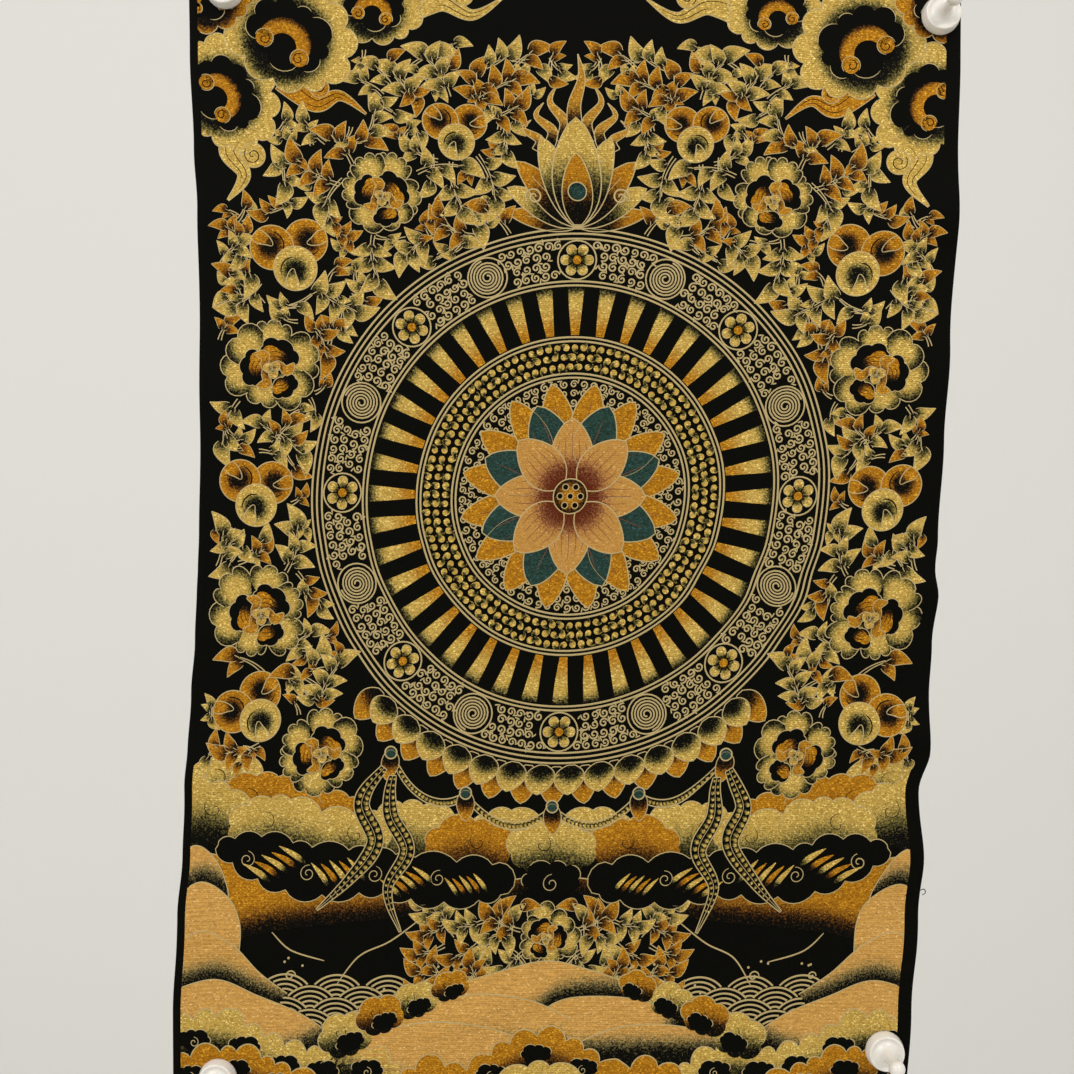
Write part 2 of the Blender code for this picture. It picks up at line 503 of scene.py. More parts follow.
def scatter_tree():
    """A tree that sets a motif on each point, turned and sized by the point's own values."""
    name = "Scatter motif"
    if name in bpy.data.node_groups:
        return bpy.data.node_groups[name]
    tree = bpy.data.node_groups.new(name, "GeometryNodeTree")
    face = tree.interface
    face.new_socket("Geometry", in_out="OUTPUT", socket_type="NodeSocketGeometry")
    for label, kind in (
        ("Geometry", "Geometry"), ("Motif", "Object"), ("Size", "Float"), ("Finish", "Material")
    ):
        face.new_socket(label, in_out="INPUT", socket_type="NodeSocket" + kind)

    def node(kind, inputs, output=0, **settings):
        return add_node(tree, kind, settings, inputs).outputs[output]

    def own(label):
        return node(
            "GeometryNodeInputNamedAttribute", {"Name": label}, "Attribute", data_type="FLOAT"
        )

    given = add_node(tree, "NodeGroupInput", {}, {}).outputs
    motif = {"Object": given["Motif"], "As Instance": True}
    grown = node("ShaderNodeMath", {0: own("size"), 1: given["Size"]}, operation="MULTIPLY")
    copies = {
        "Points": given["Geometry"],
        "Instance": node("GeometryNodeObjectInfo", motif, "Geometry"),
        "Rotation": node("ShaderNodeCombineXYZ", {"Y": own("turn")}),
        "Scale": node("ShaderNodeCombineXYZ", {"X": grown, "Y": 1.0, "Z": grown}),
    }
    real = node("GeometryNodeRealizeInstances", {0: node("GeometryNodeInstanceOnPoints", copies)})
    dressed = node("GeometryNodeSetMaterial", {"Geometry": real, "Material": given["Finish"]})
    add_node(tree, "NodeGroupOutput", {}, {0: dressed})
    return tree


Spot = namedtuple("Spot", "across up turn size level warm", defaults=(0, 0.0))


def scattered(name, spots, motif, finish):
    """One piece made of a flat motif set on many spots of the design and laid on the cloth."""
    points = bpy.data.meshes.new(name + "_points")
    places = [(spot.across, -FLOAT_STEP * spot.level, spot.up) for spot in spots]
    points.from_pydata(places, [], [])
    add_values(points, "turn", [-math.radians(spot.turn) for spot in spots])
    add_values(points, "size", [spot.size for spot in spots])
    add_values(points, "warm", [spot.warm for spot in spots])
    template = linked(name + "_motif", motif)
    carrier = linked(name + "_carrier", points)
    modifier = carrier.modifiers.new("Scatter", "NODES")
    modifier.node_group = scatter_tree()
    values = {"Motif": template, "Size": 1.0, "Finish": finished(finish)}
    for item in modifier.node_group.interface.items_tree:
        if item.in_out == "INPUT" and item.name in values:
            modifier[item.identifier] = values[item.name]
    shown = carrier.evaluated_get(bpy.context.evaluated_depsgraph_get())
    mesh = bpy.data.meshes.new_from_object(shown)
    mesh.name = name
    bpy.data.objects.remove(carrier)
    bpy.data.objects.remove(template)
    return add_piece(name, laid_on_cloth(mesh), finish)


# Shader arithmetic


class Value:
    """A shader output that takes part in plain arithmetic."""

    def __init__(self, finish, socket):
        self.finish = finish
        self.socket = socket

    def maths(self, operation, first, second=0.0, **settings):
        settings["operation"] = operation
        return self.finish.node("ShaderNodeMath", settings, {0: first, 1: second})

    def __add__(self, other):
        return self.maths("ADD", self, other)

    def __sub__(self, other):
        return self.maths("SUBTRACT", self, other)

    def __rsub__(self, other):
        return self.maths("SUBTRACT", other, self)

    def __mul__(self, other):
        return self.maths("MULTIPLY", self, other)

    __radd__ = __add__
    __rmul__ = __mul__

    def above(self, limit):
        return self.maths("GREATER_THAN", self, limit)

    def clamped(self):
        return self.maths("ADD", self, use_clamp=True)

    def sine(self):
        return self.maths("SINE", self)


def plain(value):
    return value.socket if isinstance(value, Value) else value


class Finish:
    """Builds the nodes of one material."""

    def __init__(self, name):
        material = bpy.data.materials.new(name)
        material.use_nodes = True
        self.tree = material.node_tree
        self.shader = self.tree.nodes["Principled BSDF"]
        place = self.node("ShaderNodeTexCoord", output="Object")
        self.place = self.shaded(place, 1 / MM)

    def node(self, kind, settings=None, inputs=None, output=0):
        """Adds a node, its settings first, then the values or links of its inputs."""
        fed = {key: plain(value) for key, value in (inputs or {}).items()}
        return Value(self, add_node(self.tree, kind, settings or {}, fed).outputs[output])

    def set(self, **inputs):
        """Feeds the main shader's sockets, named with underscores for spaces."""
        for name, value in inputs.items():
            feed(self.tree, self.shader.inputs[name.replace("_", " ")], plain(value))

    def attribute(self, name):
        return self.node("ShaderNodeAttribute", {"attribute_name": name}, output="Fac")

    def stretched(self, across, through, up):
        """The place in mm, with each axis scaled by its own number."""
        inputs = {0: self.place, 1: (across, through, up)}
        return self.node("ShaderNodeVectorMath", {"operation": "MULTIPLY"}, inputs)

    def noise(self, place, scale=1.0, detail=2.0, roughness=0.6):
        inputs = {"Vector": place, "Scale": scale, "Detail": detail, "Roughness": roughness}
        return self.node("ShaderNodeTexNoise", None, inputs)

    def cells(self, place, scale):
        """One random number for each little cell."""
        inputs = {"Vector": place, "Scale": scale}
        colour = self.node("ShaderNodeTexVoronoi", None, inputs, "Color")
        return self.node("ShaderNodeSeparateColor", None, {0: colour})

    def mixed(self, share, *colours):
        """A colour between two others."""
        first, second = [
            (*colour, 1.0) if isinstance(colour, tuple) else colour for colour in colours
        ]
        inputs = {0: share, 6: first, 7: second}
        return self.node("ShaderNodeMix", {"data_type": "RGBA"}, inputs, 2)

    def shaded(self, colour, brightness):
        """A colour made lighter or darker by a number."""
        inputs = {0: colour, "Scale": brightness}
        return self.node("ShaderNodeVectorMath", {"operation": "SCALE"}, inputs)

    def bump(self, height, strength, depth_mm):
        inputs = {"Strength": strength, "Distance": depth_mm * MM, "Height": height}
        self.set(Normal=self.node("ShaderNodeBump", None, inputs))


def tinted(colour, red, green, blue):
    """A colour with its parts made weaker or stronger."""
    return tuple(min(part * by, 1.0) for part, by in zip(colour, (red, green, blue)))


def chosen(name):
    """A colour that the user has set."""
    return tuple(getattr(settings(), name + "_colour"))


# In each look, one number is the share of flecks painted in a glint colour, brighter than the weft, that
# stands for light flashing off the metal thread.
WeftLook = namedtuple("WeftLook", "dusk shadow depth metal sparkle ripple")
WEFTS = {
    "gold": WeftLook(linear(108, 99, 55), None, 0.58, 0.22, 0.09, 0.30),
    "amber": WeftLook(linear(104, 66, 24), None, 0.50, 0.26, 0.08, 0.30),
    "tan": WeftLook(linear(116, 104, 66), None, 0.78, 0.14, 0.03, 0.8),
    "rose": WeftLook(linear(142, 92, 56), linear(84, 38, 18), 0.80, 0.06, 0.03, 0.3),
    "teal": WeftLook(linear(30, 42, 40), None, 0.42, 0.08, 0.04, 0.30),
}
WEFT_PITCH = 0.78
WEFT_BAND = 1.55


def weft_finish(finish, colour, warm_colour=None):
    """Metallic weft floats: grains of light and deep thread, stippled into shadow, with painted glints on the
    brightest grains.
    """
    look = WEFTS[colour]
    grain = finish.noise(finish.place, 1.5)
    fleck = finish.cells(finish.stretched(1.0, 0.2, 1.3), 1.85)
    shade = finish.attribute("shade")
    lit = ((shade + (grain - 0.5) * 1.4 - 0.36) * 2.3 + 0.5).clamped()
    bright = ((shade + (grain - 0.5) * 1.2 - 0.68) * 1.9 + 0.5).clamped()
    streak = finish.noise(finish.stretched(0.28, 0.1, 1.5), roughness=0.55)
    light = chosen(colour)
    dusk = look.dusk
    deep = tinted(light, look.depth, look.depth * 0.88, look.depth * 0.66)
    # Painted highlight: a glint colour brighter than the weft, standing for light flashing off the metal
    # thread.
    painted_glint = tinted(light, 1.42, 1.56, 2.2)
    if warm_colour:
        warm = finish.attribute("warm")
        other, by = chosen(warm_colour), WEFTS[warm_colour].depth
        deep = finish.mixed(warm, deep, tinted(other, by, by * 0.85, by * 0.6))
        painted_glint = finish.mixed(warm, painted_glint, tinted(other, 1.42, 1.6, 2.4))
        light = finish.mixed(warm, light, other)
        dusk = finish.mixed(warm, dusk, WEFTS[warm_colour].dusk)
    body = finish.mixed(fleck, deep, light)
    body = finish.shaded(body, 1.0 + (streak - 0.5) * look.ripple)
    # The brightest flecks take the painted glint colour.
    body = finish.mixed(fleck.above(1 - look.sparkle) * 0.8, body, painted_glint)
    body = finish.mixed(bright, finish.shaded(dusk, 0.7 + fleck * 0.6), body)
    up = finish.node("ShaderNodeSeparateXYZ", None, {0: finish.place}, "Z")
    wefts = (up * (math.tau / WEFT_PITCH) + grain * 2.4).sine()
    waver = finish.noise(finish.stretched(0.06, 0.1, 0.12), roughness=0.5)
    bands = (up * (math.tau / WEFT_BAND) + waver * 16.0).sine()
    body = finish.shaded(body, 1.0 + bands * (look.ripple * 0.09))
    shadow = look.shadow or chosen("ground")
    finish.set(
        Base_Color=finish.mixed(lit, shadow, finish.shaded(body, 0.97 + wefts * 0.07)),
        Roughness=0.62 - fleck * 0.26, Metallic=lit * look.metal, Specular_IOR_Level=0.05,
    )
    finish.bump(wefts * 0.5 + fleck, 0.55, 0.14)


def satin_finish(finish):
    """The black warp satin, and on the cloth's back the loose wefts that lie behind it."""
    ribs = finish.noise(finish.stretched(2.4, 0.2, 0.5), detail=3.0)
    picks = finish.noise(finish.stretched(0.3, 0.2, 2.6))
    cloudy = finish.noise(finish.place, 0.02, roughness=0.5)
    tone = 0.75 + ribs * 0.4 + picks * 0.3 + (cloudy - 0.5) * 0.3
    ground = chosen("ground")
    satin = finish.shaded(finish.mixed(ribs, tinted(ground, 0.6, 0.6, 0.55), ground), tone)
    loose = finish.noise(finish.stretched(0.05, 0.1, 2.2), detail=3.0)
    drift = finish.noise(finish.place, 0.03, 3.0)
    behind = finish.attribute("behind") * ((loose * 2.2 + drift * 0.7 - 1.27) * 4.0).clamped()
    amber = tinted(chosen("amber"), 0.26, 0.29, 0.5)
    gold = tinted(chosen("gold"), 0.30, 0.30, 0.26)
    dull = finish.mixed(((drift - 0.47) * 7.0).clamped(), amber, gold)
    finish.set(
        Base_Color=finish.mixed(behind, satin, dull),
        Roughness=0.62 + ribs * 0.16, Specular_IOR_Level=0.05,
    )
    finish.bump(ribs + picks, 0.4, 0.1)


def thread_finish(finish, colour):
    """Outline threads, faintly twisted."""
    twist = finish.noise(finish.place, 1.9)
    finish.set(
        Base_Color=finish.mixed(twist, tinted(colour, 0.62, 0.58, 0.5), colour),
        Roughness=0.5 - twist * 0.1, Metallic=0.15,
    )
    finish.bump(twist, 0.4, 0.08)


def plastic_finish(finish):
    """Glossy white moulded plastic, a little warm, with soft marks of handling."""
    marks = finish.noise(finish.place, 0.35, 4.0)
    white = chosen("plastic")
    finish.set(
        Base_Color=finish.mixed(marks, tinted(white, 0.88, 0.86, 0.82), white),
        Roughness=0.2 + marks * 0.14, Coat_Weight=0.35, Coat_Roughness=0.12,
        Subsurface_Weight=0.12, Subsurface_Scale=0.002,
    )
    finish.bump(marks, 0.12, 0.05)


def stage_finish(finish):
    finish.set(Base_Color=(0.735, 0.728, 0.7, 1.0), Roughness=0.9)


RUSSET = linear(112, 52, 26)
FINISHES = {
    "gold weft": lambda finish: weft_finish(finish, "gold", "amber"),
    "tan weft": lambda finish: weft_finish(finish, "tan", "amber"),
    "rose tan weft": lambda finish: weft_finish(finish, "rose"),
    "teal weft": lambda finish: weft_finish(finish, "teal"),
    "black satin": satin_finish,
    "pale thread": lambda finish: thread_finish(finish, chosen("outline")),
    "russet thread": lambda finish: thread_finish(finish, RUSSET),
    "white plastic": plastic_finish,
    "pale stage": stage_finish,
}


def finished(name):
    """The material of a finish, made the first time that it is asked for."""
    if name not in bpy.data.materials:
        FINISHES[name](Finish(name))
    return bpy.data.materials[name]


# Motifs, each drawn round its own middle and set in place


class Drawing:
    """One tray for each finish that a group of motifs uses."""

    def __init__(self, paired=False):
        self.trays = {}
        self.paired = paired

    def tray(self, finish):
        return self.trays.setdefault(finish, Tray(paired=self.paired))

    def plate(self, shape, level, shade=1.0, warm=0.0, pitch=2.6, edge=0.0, finish="gold weft"):
        """A float, of gold weft if nothing else is named. edge is the width of a thread round it."""
        self.tray(finish).plate(shape, level, shade, warm, pitch)
        if edge:
            self.line(np.concatenate([shape, shape[:1]]), edge, level + 1)

    def dark(self, shape, level, edge=0.0, pitch=2.6):
        self.plate(shape, level, 1.0, 0.0, pitch, edge, "black satin")

    def line(self, path, width, level, taper=0.0, finish="pale thread"):
        self.tray(finish).thread(path, width, level, taper)

    def weave(self, prefix):
        for finish, tray in self.trays.items():
            weave(f"{prefix}_{finish.replace(' ', '_')}", tray, finish)


def fading(at, start, end):
    """A shade that goes from 0 to 1 between two distances from a place."""
    return lambda points: smooth_step(start, end, np.hypot(*(points - np.asarray(at)).T))


def above_line(line, height):
    """A shade that rises from 0 on a line of the design to 1 at a height above it."""
    line = line[np.argsort(line[:, 0])]
    return lambda points: smooth_step(
        0.0, height, points[:, 1] - np.interp(points[:, 0], line[:, 0], line[:, 1])
    )


LEAF_STATIONS = 11
LEAF_HALF_WIDTH = 0.29
LEAF_HOOK = 0.34
LEAF_ROOM = 0.182
LEAF_CHECKS = (0.34, 0.68)
STEM_STEPS = 16
STEM_GAP = 0.5


def leaf_sides(hooked):
    """The right and left edges of a leaf of unit length, whose tip hooks to the right or left."""
    t = np.linspace(0.0, 1.0, LEAF_STATIONS)
    middle = np.stack([hooked * (LEAF_HOOK * t**3 - 0.08 * np.sin(math.pi * t)), t], axis=1)
    half = LEAF_HALF_WIDTH * 3.05 * t**0.68 * (1 - t) ** 0.92
    half = np.stack([half, np.zeros(LEAF_STATIONS)], axis=1)
    return middle + half, middle - half, middle


def leaf_blade(hooked):
    """The filled blade: dark at its foot and along its rib, bright at its tip."""
    right, left, middle = leaf_sides(hooked)

    def shade(points):
        rib = np.interp(points[:, 1], middle[:, 1], middle[:, 0])
        return np.clip(points[:, 1] * 1.55 - 0.2 + np.abs(points[:, 0] - rib) * 0.9, 0.0, 1.0)

    return plate_motif("leaf_blade", np.concatenate([right, left[-2:0:-1]]), shade, 0.2)


def leaf_edging(hooked):
    """The pale thread round a leaf, with its stalk and rib."""
    right, left, middle = leaf_sides(hooked)
    tray = Tray(clipped=False)
    tray.thread(right[1:], 0.042, 1, taper=0.3)
    tray.thread(left[1:], 0.042, 1, taper=0.3)
    tray.thread(middle[:4] * (1, 0.8), 0.04, 2, taper=0.5)
    return tray.mesh("leaf_edging")


def plate_motif(name, outline, shade, pitch, warm=None):
    """One float that will be scattered."""
    tray = Tray(clipped=False)
    tray.plate(outline, 0, shade, warm or 0.0, pitch)
    return tray.mesh(name, warm is not None)


def curl_motif():
    """One small scroll of the ring's filigree, 4 mm across, with a tail that joins the next."""
    tray = Tray(clipped=False)
    path = np.concatenate([[(2.9, 1.8), (2.5, 0.9)], spiral((0, 0), 1.95, 0.35, 1.35, 0, 1, 17)])
    tray.thread(path, 0.68, taper=0.2)
    return tray.mesh("curl")


def pebble_motif():
    """One comma-shaped pebble about 4 mm long."""
    tail = [(-0.9, -1.6), (0.3, -2.6), (1.1, -2.5), (0.7, -1.8)]
    outline = np.concatenate([arc((0, 0), 1.35, -60, 200, 12), tail])
    return plate_motif("pebble", outline, fading((0.3, -1.6), 0.0, 1.9), 1.1)


def bead_motif():
    """One round bead of 2 mm."""
    return plate_motif("bead", arc((0, 0), 1.0, 0, 330, 12), fading((0.3, -0.3), 1.3, 0.2), 0.8)


def ray_motif():
    """One ray of unit length: amber at its root, pale beyond, dark again at its broad end."""
    side = np.array([(0.085, 0.0), (0.135, 0.5), (0.18, 1.0)])
    outline = np.concatenate([side[:1] * (-1, 1), side, side[:0:-1] * (-1, 1)])
    return plate_motif(
        "ray", outline, lambda points: 1 - smooth_step(0.72, 1.06, points[:, 1]), 0.13,
        lambda points: 1 - smooth_step(0.1, 0.6, points[:, 1]),
    )


class Foliage:
    """Sprays of leaves that keep clear of one another and of what is already there.

    They are grown in the right half and mirrored to the left. Leaves whose tips hook to the
    right are kept apart from those that hook to the left.
    """

    def __init__(self, seed, blocked, top, bottom):
        self.random = random.Random(seed)
        self.taken = list(blocked)
        self.fixed = list(blocked)
        self.top, self.bottom = top, bottom
        self.leaves = {1: [], -1: []}
        self.stems = Tray(paired=True)

    def clear(self, at, radius):
        return (
            radius * 0.4 < at[0] < PICTURE_RIGHT - radius * 0.6
            and self.bottom + radius < at[1] < self.top - radius
            and all(math.hypot(at[0] - x, at[1] - y) > reach + radius for x, y, reach in self.taken)
        )

    def leaf(self, at, heading, length, warm, hooked):
        way = polar(length, heading)
        room = length * LEAF_ROOM
        checks = [at + way * share for share in LEAF_CHECKS]
        if not all(self.clear(check, room) for check in checks):
            return False
        self.taken += [(x, y, room) for x, y in checks]
        turn = heading - 90
        level = 1 + 2 * (len(self.taken) % 3)
        self.leaves[hooked].append(Spot(at[0], at[1], turn, length, level, warm))
        self.leaves[-hooked].append(Spot(-at[0], at[1], -turn, length, level, warm))
        return True

    def spray(self, at, heading, leaf, bend, pairs, warm):
        """A curved double stem with leaves on both sides and a larger one at its end."""
        share = np.linspace(0.0, 1.0, STEM_STEPS)
        length = leaf * (0.4 + 0.42 * pairs)
        path = at + np.cumsum(polar(length / STEM_STEPS, heading + bend * share), axis=0)
        gaps = [np.hypot(*(path[2:] - (x, y)).T).min() - reach for x, y, reach in self.fixed]
        if min(gaps) < STEM_GAP or not self.leaf(
            path[-1], heading + bend, leaf, warm, 1 if bend < 0 else -1
        ):
            return
        for pair in range(pairs):
            index = int((pair + 0.85) / (pairs + 0.2) * (STEM_STEPS - 1))
            ahead = heading + bend * share[index]
            for side in (-1, 1):
                size = leaf * 0.8 * self.random.uniform(0.9, 1.08)
                root = path[index] + polar(leaf * 0.07, ahead + 90 * side)
                self.leaf(root, ahead + side * self.random.uniform(36, 50), size, warm, -side)
        side = side_normals(path) * np.linspace(0.7, 0.3, STEM_STEPS)[:, None]
        self.stems.thread(path + side, 0.42)
        self.stems.thread(path - side, 0.42)

    def weave(self, stems, prefix=""):
        """Lays the stems and the leaves on the cloth."""
        weave(stems, self.stems, "pale thread")
        for side, name in ((1, "right"), (-1, "left")):
            spots = self.leaves[side]
            scattered(f"{prefix}leaves_{name}", spots, leaf_blade(side), "gold weft")
            scattered(f"{prefix}leaf_edges_{name}", spots, leaf_edging(side), "pale thread")


def fan_petal(inner, outer, span, lobes, notch):
    """A petal that opens upwards from its root to a lobed lip."""
    share = np.linspace(0.0, 1.0, lobes * 7 + 1)
    lip = outer * (1 - notch * (1 - np.abs(np.sin(math.pi * lobes * share)) ** 0.6))
    lip *= 1 - 0.2 * (2 * share - 1) ** 4
    rim = polar(lip, 90 + span * (share - 0.5))
    root = polar(inner, 90 + span * np.array([-0.22, 0.22]))
    return np.concatenate([root[:1], rim, root[1:]])


def lotus_petal(length, width, count=15):
    """A pointed petal with full shoulders, standing on its root."""
    t = np.linspace(0.0, 1.0, count)
    half = width / 2 * np.maximum(np.sin(math.pi * t**0.85), 0.0) ** 0.62 * (1 - 0.1 * t)
    half[0] = width * 0.12
    half[-1] = 0.0
    right = np.stack([half, t * length], axis=1)
    return np.concatenate([right, (right * (-1, 1))[-2::-1]])


def petal(drawing, root, way, length, width, level, near, far, warm=0.0, pitch=2.6, edge=0.5,
          finish="gold weft"):
    """A lotus petal that brightens between two distances from its root."""
    shape = placed(lotus_petal(length, width), root, 1.0, way)
    drawing.plate(shape, level, fading(root, near, far), warm, pitch, edge, finish)


def peony(drawing, at, radius, turn):
    """A full blossom: broad wavy petals, dark hollows that hold amber cups, curled lips."""
    at = np.asarray(at, float)
    level = 3
    draw = random.Random(int(at[0] * 7 - at[1] * 3))
    drawing.dark(arc(at, radius * 0.8, 0, 352, 36), level - 1)
    for rank in range(6):
        way = turn + 60 * rank + draw.uniform(-7, 7)
        reach = radius * draw.uniform(0.88, 1.1)
        lobes = draw.choice((2, 3, 3, 4))
        shape = fan_petal(0.28 * radius, reach, draw.uniform(62, 80), lobes, 0.12)
        shape = placed(shape, at, 1.0, way)
        here = level + 2 * (rank % 3)
        core = at + polar(reach * 0.62, way + 90)
        drawing.plate(shape, here, fading(core, reach * 0.5, reach * 0.12), 0.0, 1.6)
        drawing.line(shape[1:-1], 0.48, here + 1)
    heart = at + polar(radius * 0.1, turn + 230)
    for way, reach, broad in ((20, 0.36, 1.16), (140, 0.44, 0.84), (258, 0.41, 1.04)):
        way += turn + draw.uniform(-8, 8)
        size = radius * broad
        set_in = (heart + polar(radius * reach, way + 90), size, way)
        hollow = placed(scalloped(oval(0.66, 0.44), 5, 0.045, each=8), *set_in)
        drawing.dark(hollow, level + 8, 0.4, 2.4)
        side = draw.choice((-1, 1))
        cup = scalloped(oval(0.44, 0.25), 3, 0.04, each=8) + (0.07 * side, -0.07)
        shade = fading(set_in[0] + polar(size * 0.17, way + 90 - 95 * side), size * 0.36, size * 0.08)
        drawing.plate(placed(cup, *set_in), level + 9, shade, 1.0, 1.4)
        for line in (-0.09, 0.0, 0.09):
            bent = [(-0.12 * side, line * 0.6), (0.04 * side, line + 0.02), (0.17 * side, line - 0.06)]
            bent = placed(smooth_path(bent, 8), *set_in)
            drawing.line(bent, 0.45, level + 10, 0.8, "black satin")
    widths = 0.18 * np.array([0.6, 0.9, 1.0, 0.9, 0.75, 0.8, 1.0, 1.1, 1.1, 0.9, 0.6, 0.2])
    for way, bend in ((82, 1), (199, -1), (318, 1)):
        lip = [(0.0, 0.0), (0.1 * bend, 0.15), (-0.03 * bend, 0.31), (0.13 * bend, 0.46)]
        shape = placed(tapered(smooth_path(lip, 12), widths), heart, radius, turn + way)
        shade = fading(heart, radius * 0.02, radius * 0.36)
        drawing.plate(shape, level + 11, shade, 0.9, 1.4, 0.38)
    for way in (40, 160, 280):
        shape = placed(lotus_petal(0.2, 0.21, 9), heart, radius, turn + way)
        drawing.plate(shape, level + 12, fading(heart, 0.0, radius * 0.14), 0.3, 1.3, 0.35)


def fruit(drawing, at, radius, turn, level, warm):
    """A round fruit with a dark eye, and a pale-edged husk that curls into the eye."""
    eye = at + polar(radius * 0.12, turn)
    shade = fading(eye, radius * 0.2, radius * 0.9)
    drawing.plate(arc(at, radius, 0, 352, 40), level, shade, warm, 1.4, 0.5)
    husk = [(0.98, 0.30), (0.62, 0.36), (0.2, 0.26), (0.02, 0.08), (0.3, -0.06), (0.66, -0.24), (0.97, -0.22)]
    husk = placed(smooth_path(husk, 24), at, radius, turn)
    shade = fading(at + polar(radius, turn), radius, radius * 0.35)
    drawing.plate(husk, level + 1, shade, warm, 1.4)
    for part in (husk[:13], husk[12:]):
        drawing.line(part, 0.55, level + 2, 0.4)
    rim = spiral(at, radius * 0.72, radius * 0.5, 0.3, turn + 55, 1, 14)
    drawing.line(rim, 0.6, level + 2, 0.8, "black satin")


def fruit_cluster(drawing, at, radius, turn):
    """Two amber fruits behind a gold one."""
    for index, (heading, reach, warm) in enumerate(((150, 0.85, 1.0), (25, 0.95, 1.0), (268, 0.7, 0.0))):
        place = np.asarray(at) + polar(radius * reach, heading + turn)
        fruit(drawing, place, radius, heading + turn + 20, 3 + 3 * index, warm)


def hook(drawing, at, radius, turns, start, sense, width, level, finish="pale thread"):
    path = spiral(at, radius, radius * 0.16, turns, start, sense, int(14 * turns) + 8)
    drawing.line(path, width, level, 0.35, finish)


def cloud_head(drawing, at, size, turn, level, warm=0.0):
    """A lobed cloud with a dark hollow, and in it an arch whose two ends curl inwards."""

    def here(points):
        return placed(points, at, size, turn)

    body = here(scalloped(oval(1.0, 0.78), 11, 0.075))
    shade = fading(here([(0.0, -0.06)])[0], size * 0.27, size * 0.46)
    drawing.plate(body, level, shade, warm, edge=0.5)
    hollow = here(scalloped(oval(0.64, 0.46) + (0, -0.01), 9, 0.055, each=8))
    drawing.dark(hollow, level + 1)
    for lobe in (0, 2, 3, 5, 6, 8):
        drawing.line(hollow[lobe * 8 : lobe * 8 + 7], 0.45, level + 2, 0.6)
    arch = [arc((0.0, -0.10), 0.22, -6, 186, 26), arc((0.0, -0.13), 0.115, 180, 0, 18)]
    glow = fading(here([(0.0, -0.16)])[0], size * 0.20, size * 0.29)
    drawing.plate(here(np.concatenate(arch)), level + 2, lambda points: 1 - glow(points), 1.0, 1.4)
    for side in (-1, 1):
        end = (side * 0.165, -0.14)
        drawing.plate(here(arc(end, 0.068, 0, 330, 16)), level + 2, 0.95, 1.0, 1.4)
        curl = spiral((side * 0.16, -0.145), 0.05, 0.012, 1.1, 90, side, 14)
        drawing.line(here(curl), 0.7, level + 3, 0.3, "black satin")
        rim = arc(end, 0.075, 90 - side * 100, 90 + side * 150, 16)
        drawing.line(here(rim), 0.42, level + 3, 0.5)


def widths_along(widths, count):
    """Widths given at even steps of a band, drawn out to a count of points."""
    return np.interp(np.linspace(0.0, 1.0, count), np.linspace(0.0, 1.0, len(widths)), widths)


def cloud_tail(drawing, path, widths, curl, warm=0.0):
    """A drifting band of cloud that follows a path, with dark lines along it and a curl."""
    path = smooth_path(path, 40)
    broad = widths_along(widths, 40)
    drawing.plate(tapered(path, broad), 0, 1.0, warm, edge=0.45)
    side = side_normals(path)
    for offset, start, end in ((-0.18, 4, -6), (0.2, 12, -10)):
        inner = path[start:end] + side[start:end] * (broad[start:end] * offset)[:, None]
        drawing.line(inner, 0.55, 1, 0.7, "black satin")
    centre, radius, start, sense = curl
    drawing.plate(arc(centre, radius, 0, 350, 26), 1, 1.0, warm)
    drawing.line(arc(centre, radius, 0, 360, 28), 0.45, 2)
    hook(drawing, centre, radius * 0.74, 1.4, start, sense, 0.75, 2, "black satin")


def swell(drawing, ridge, belly, level, warm=0.0, fade=15.0, finish="gold weft", dark=None):
    """A drift or a hill: a ridge drawn right to left, fading into the dark on a line below it."""
    crest = smooth_path(ridge, 50)
    base = smooth_path([crest[-1], *belly, crest[0]], 40)
    outline = np.concatenate([crest, base[1:-1]])
    shade = above_line(base if dark is None else smooth_path(dark, 40) - (0, 1), fade)
    drawing.plate(outline, level, shade, warm, finish=finish)
    drawing.line(crest, 0.55, level + 1)
    return outline


def fingers(drawing, at, size, turn, level):
    """Pale strokes that stand side by side in a dark hollow."""
    for step in range(5):
        line = [(-0.1, -0.42), (0.0, -0.05), (0.2, 0.4 - 0.06 * (step % 2))]
        line = smooth_path(line, 8) + (0.26 * step - 0.52, 0.05 * step - 0.1)
        shape = tapered(line, 0.15 * np.array([0.2, 0.7, 1, 1, 0.9, 0.7, 0.45, 0.1]))
        root = placed(line[:1], at, size, turn)[0]
        shade = fading(root, size * 0.02, size * 0.42)
        drawing.plate(placed(shape, at, size, turn), level, shade, step % 2, 1.4)


def lobed_hollow(drawing, at, size, turn, level, curl=True):
    """A dark hollow of round lobes in a cloud, edged in pale thread, with a curl under it."""
    shape = placed(scalloped(oval(1.0, 0.55), 7, 0.085, each=8), at, size, turn)
    drawing.dark(shape, level)
    for lobe in range(4):
        drawing.line(shape[lobe * 8 : lobe * 8 + 7], 0.45, level + 1, 0.5)
    if curl:
        middle = placed([(0.0, -0.08)], at, size, turn)[0]
        hook(drawing, middle, size * 0.17, 1.3, 90 + turn, 1, 0.6, level + 1)


def puff(drawing, at, width, height, level, warm, turn, lobes):
    """A round cloud, bright on top, that fades into the dark at its belly."""
    at = np.asarray(at, float)
    body = placed(scalloped(oval(width, height), lobes, height * 0.10), at, 1.0, turn)
    low = at[1] - height * 0.5

    def shade(points):
        bow = np.abs(points[:, 0] - at[0]) * 0.25
        return smooth_step(low + height * 0.05, low + height * 0.95, points[:, 1] + bow)

    drawing.plate(body, level, shade, warm)
    drawing.line(body[: len(body) // 2 + 2], 0.5, level + 1, 0.5)
    side = 1 if lobes % 2 else -1
    curl = spiral(at + (side * width * 0.12, height * 0.08), height * 0.2, 0.5, 0.9, 60, side, 20)
    drawing.line(curl, 0.55, level + 1, 0.8, "black satin")


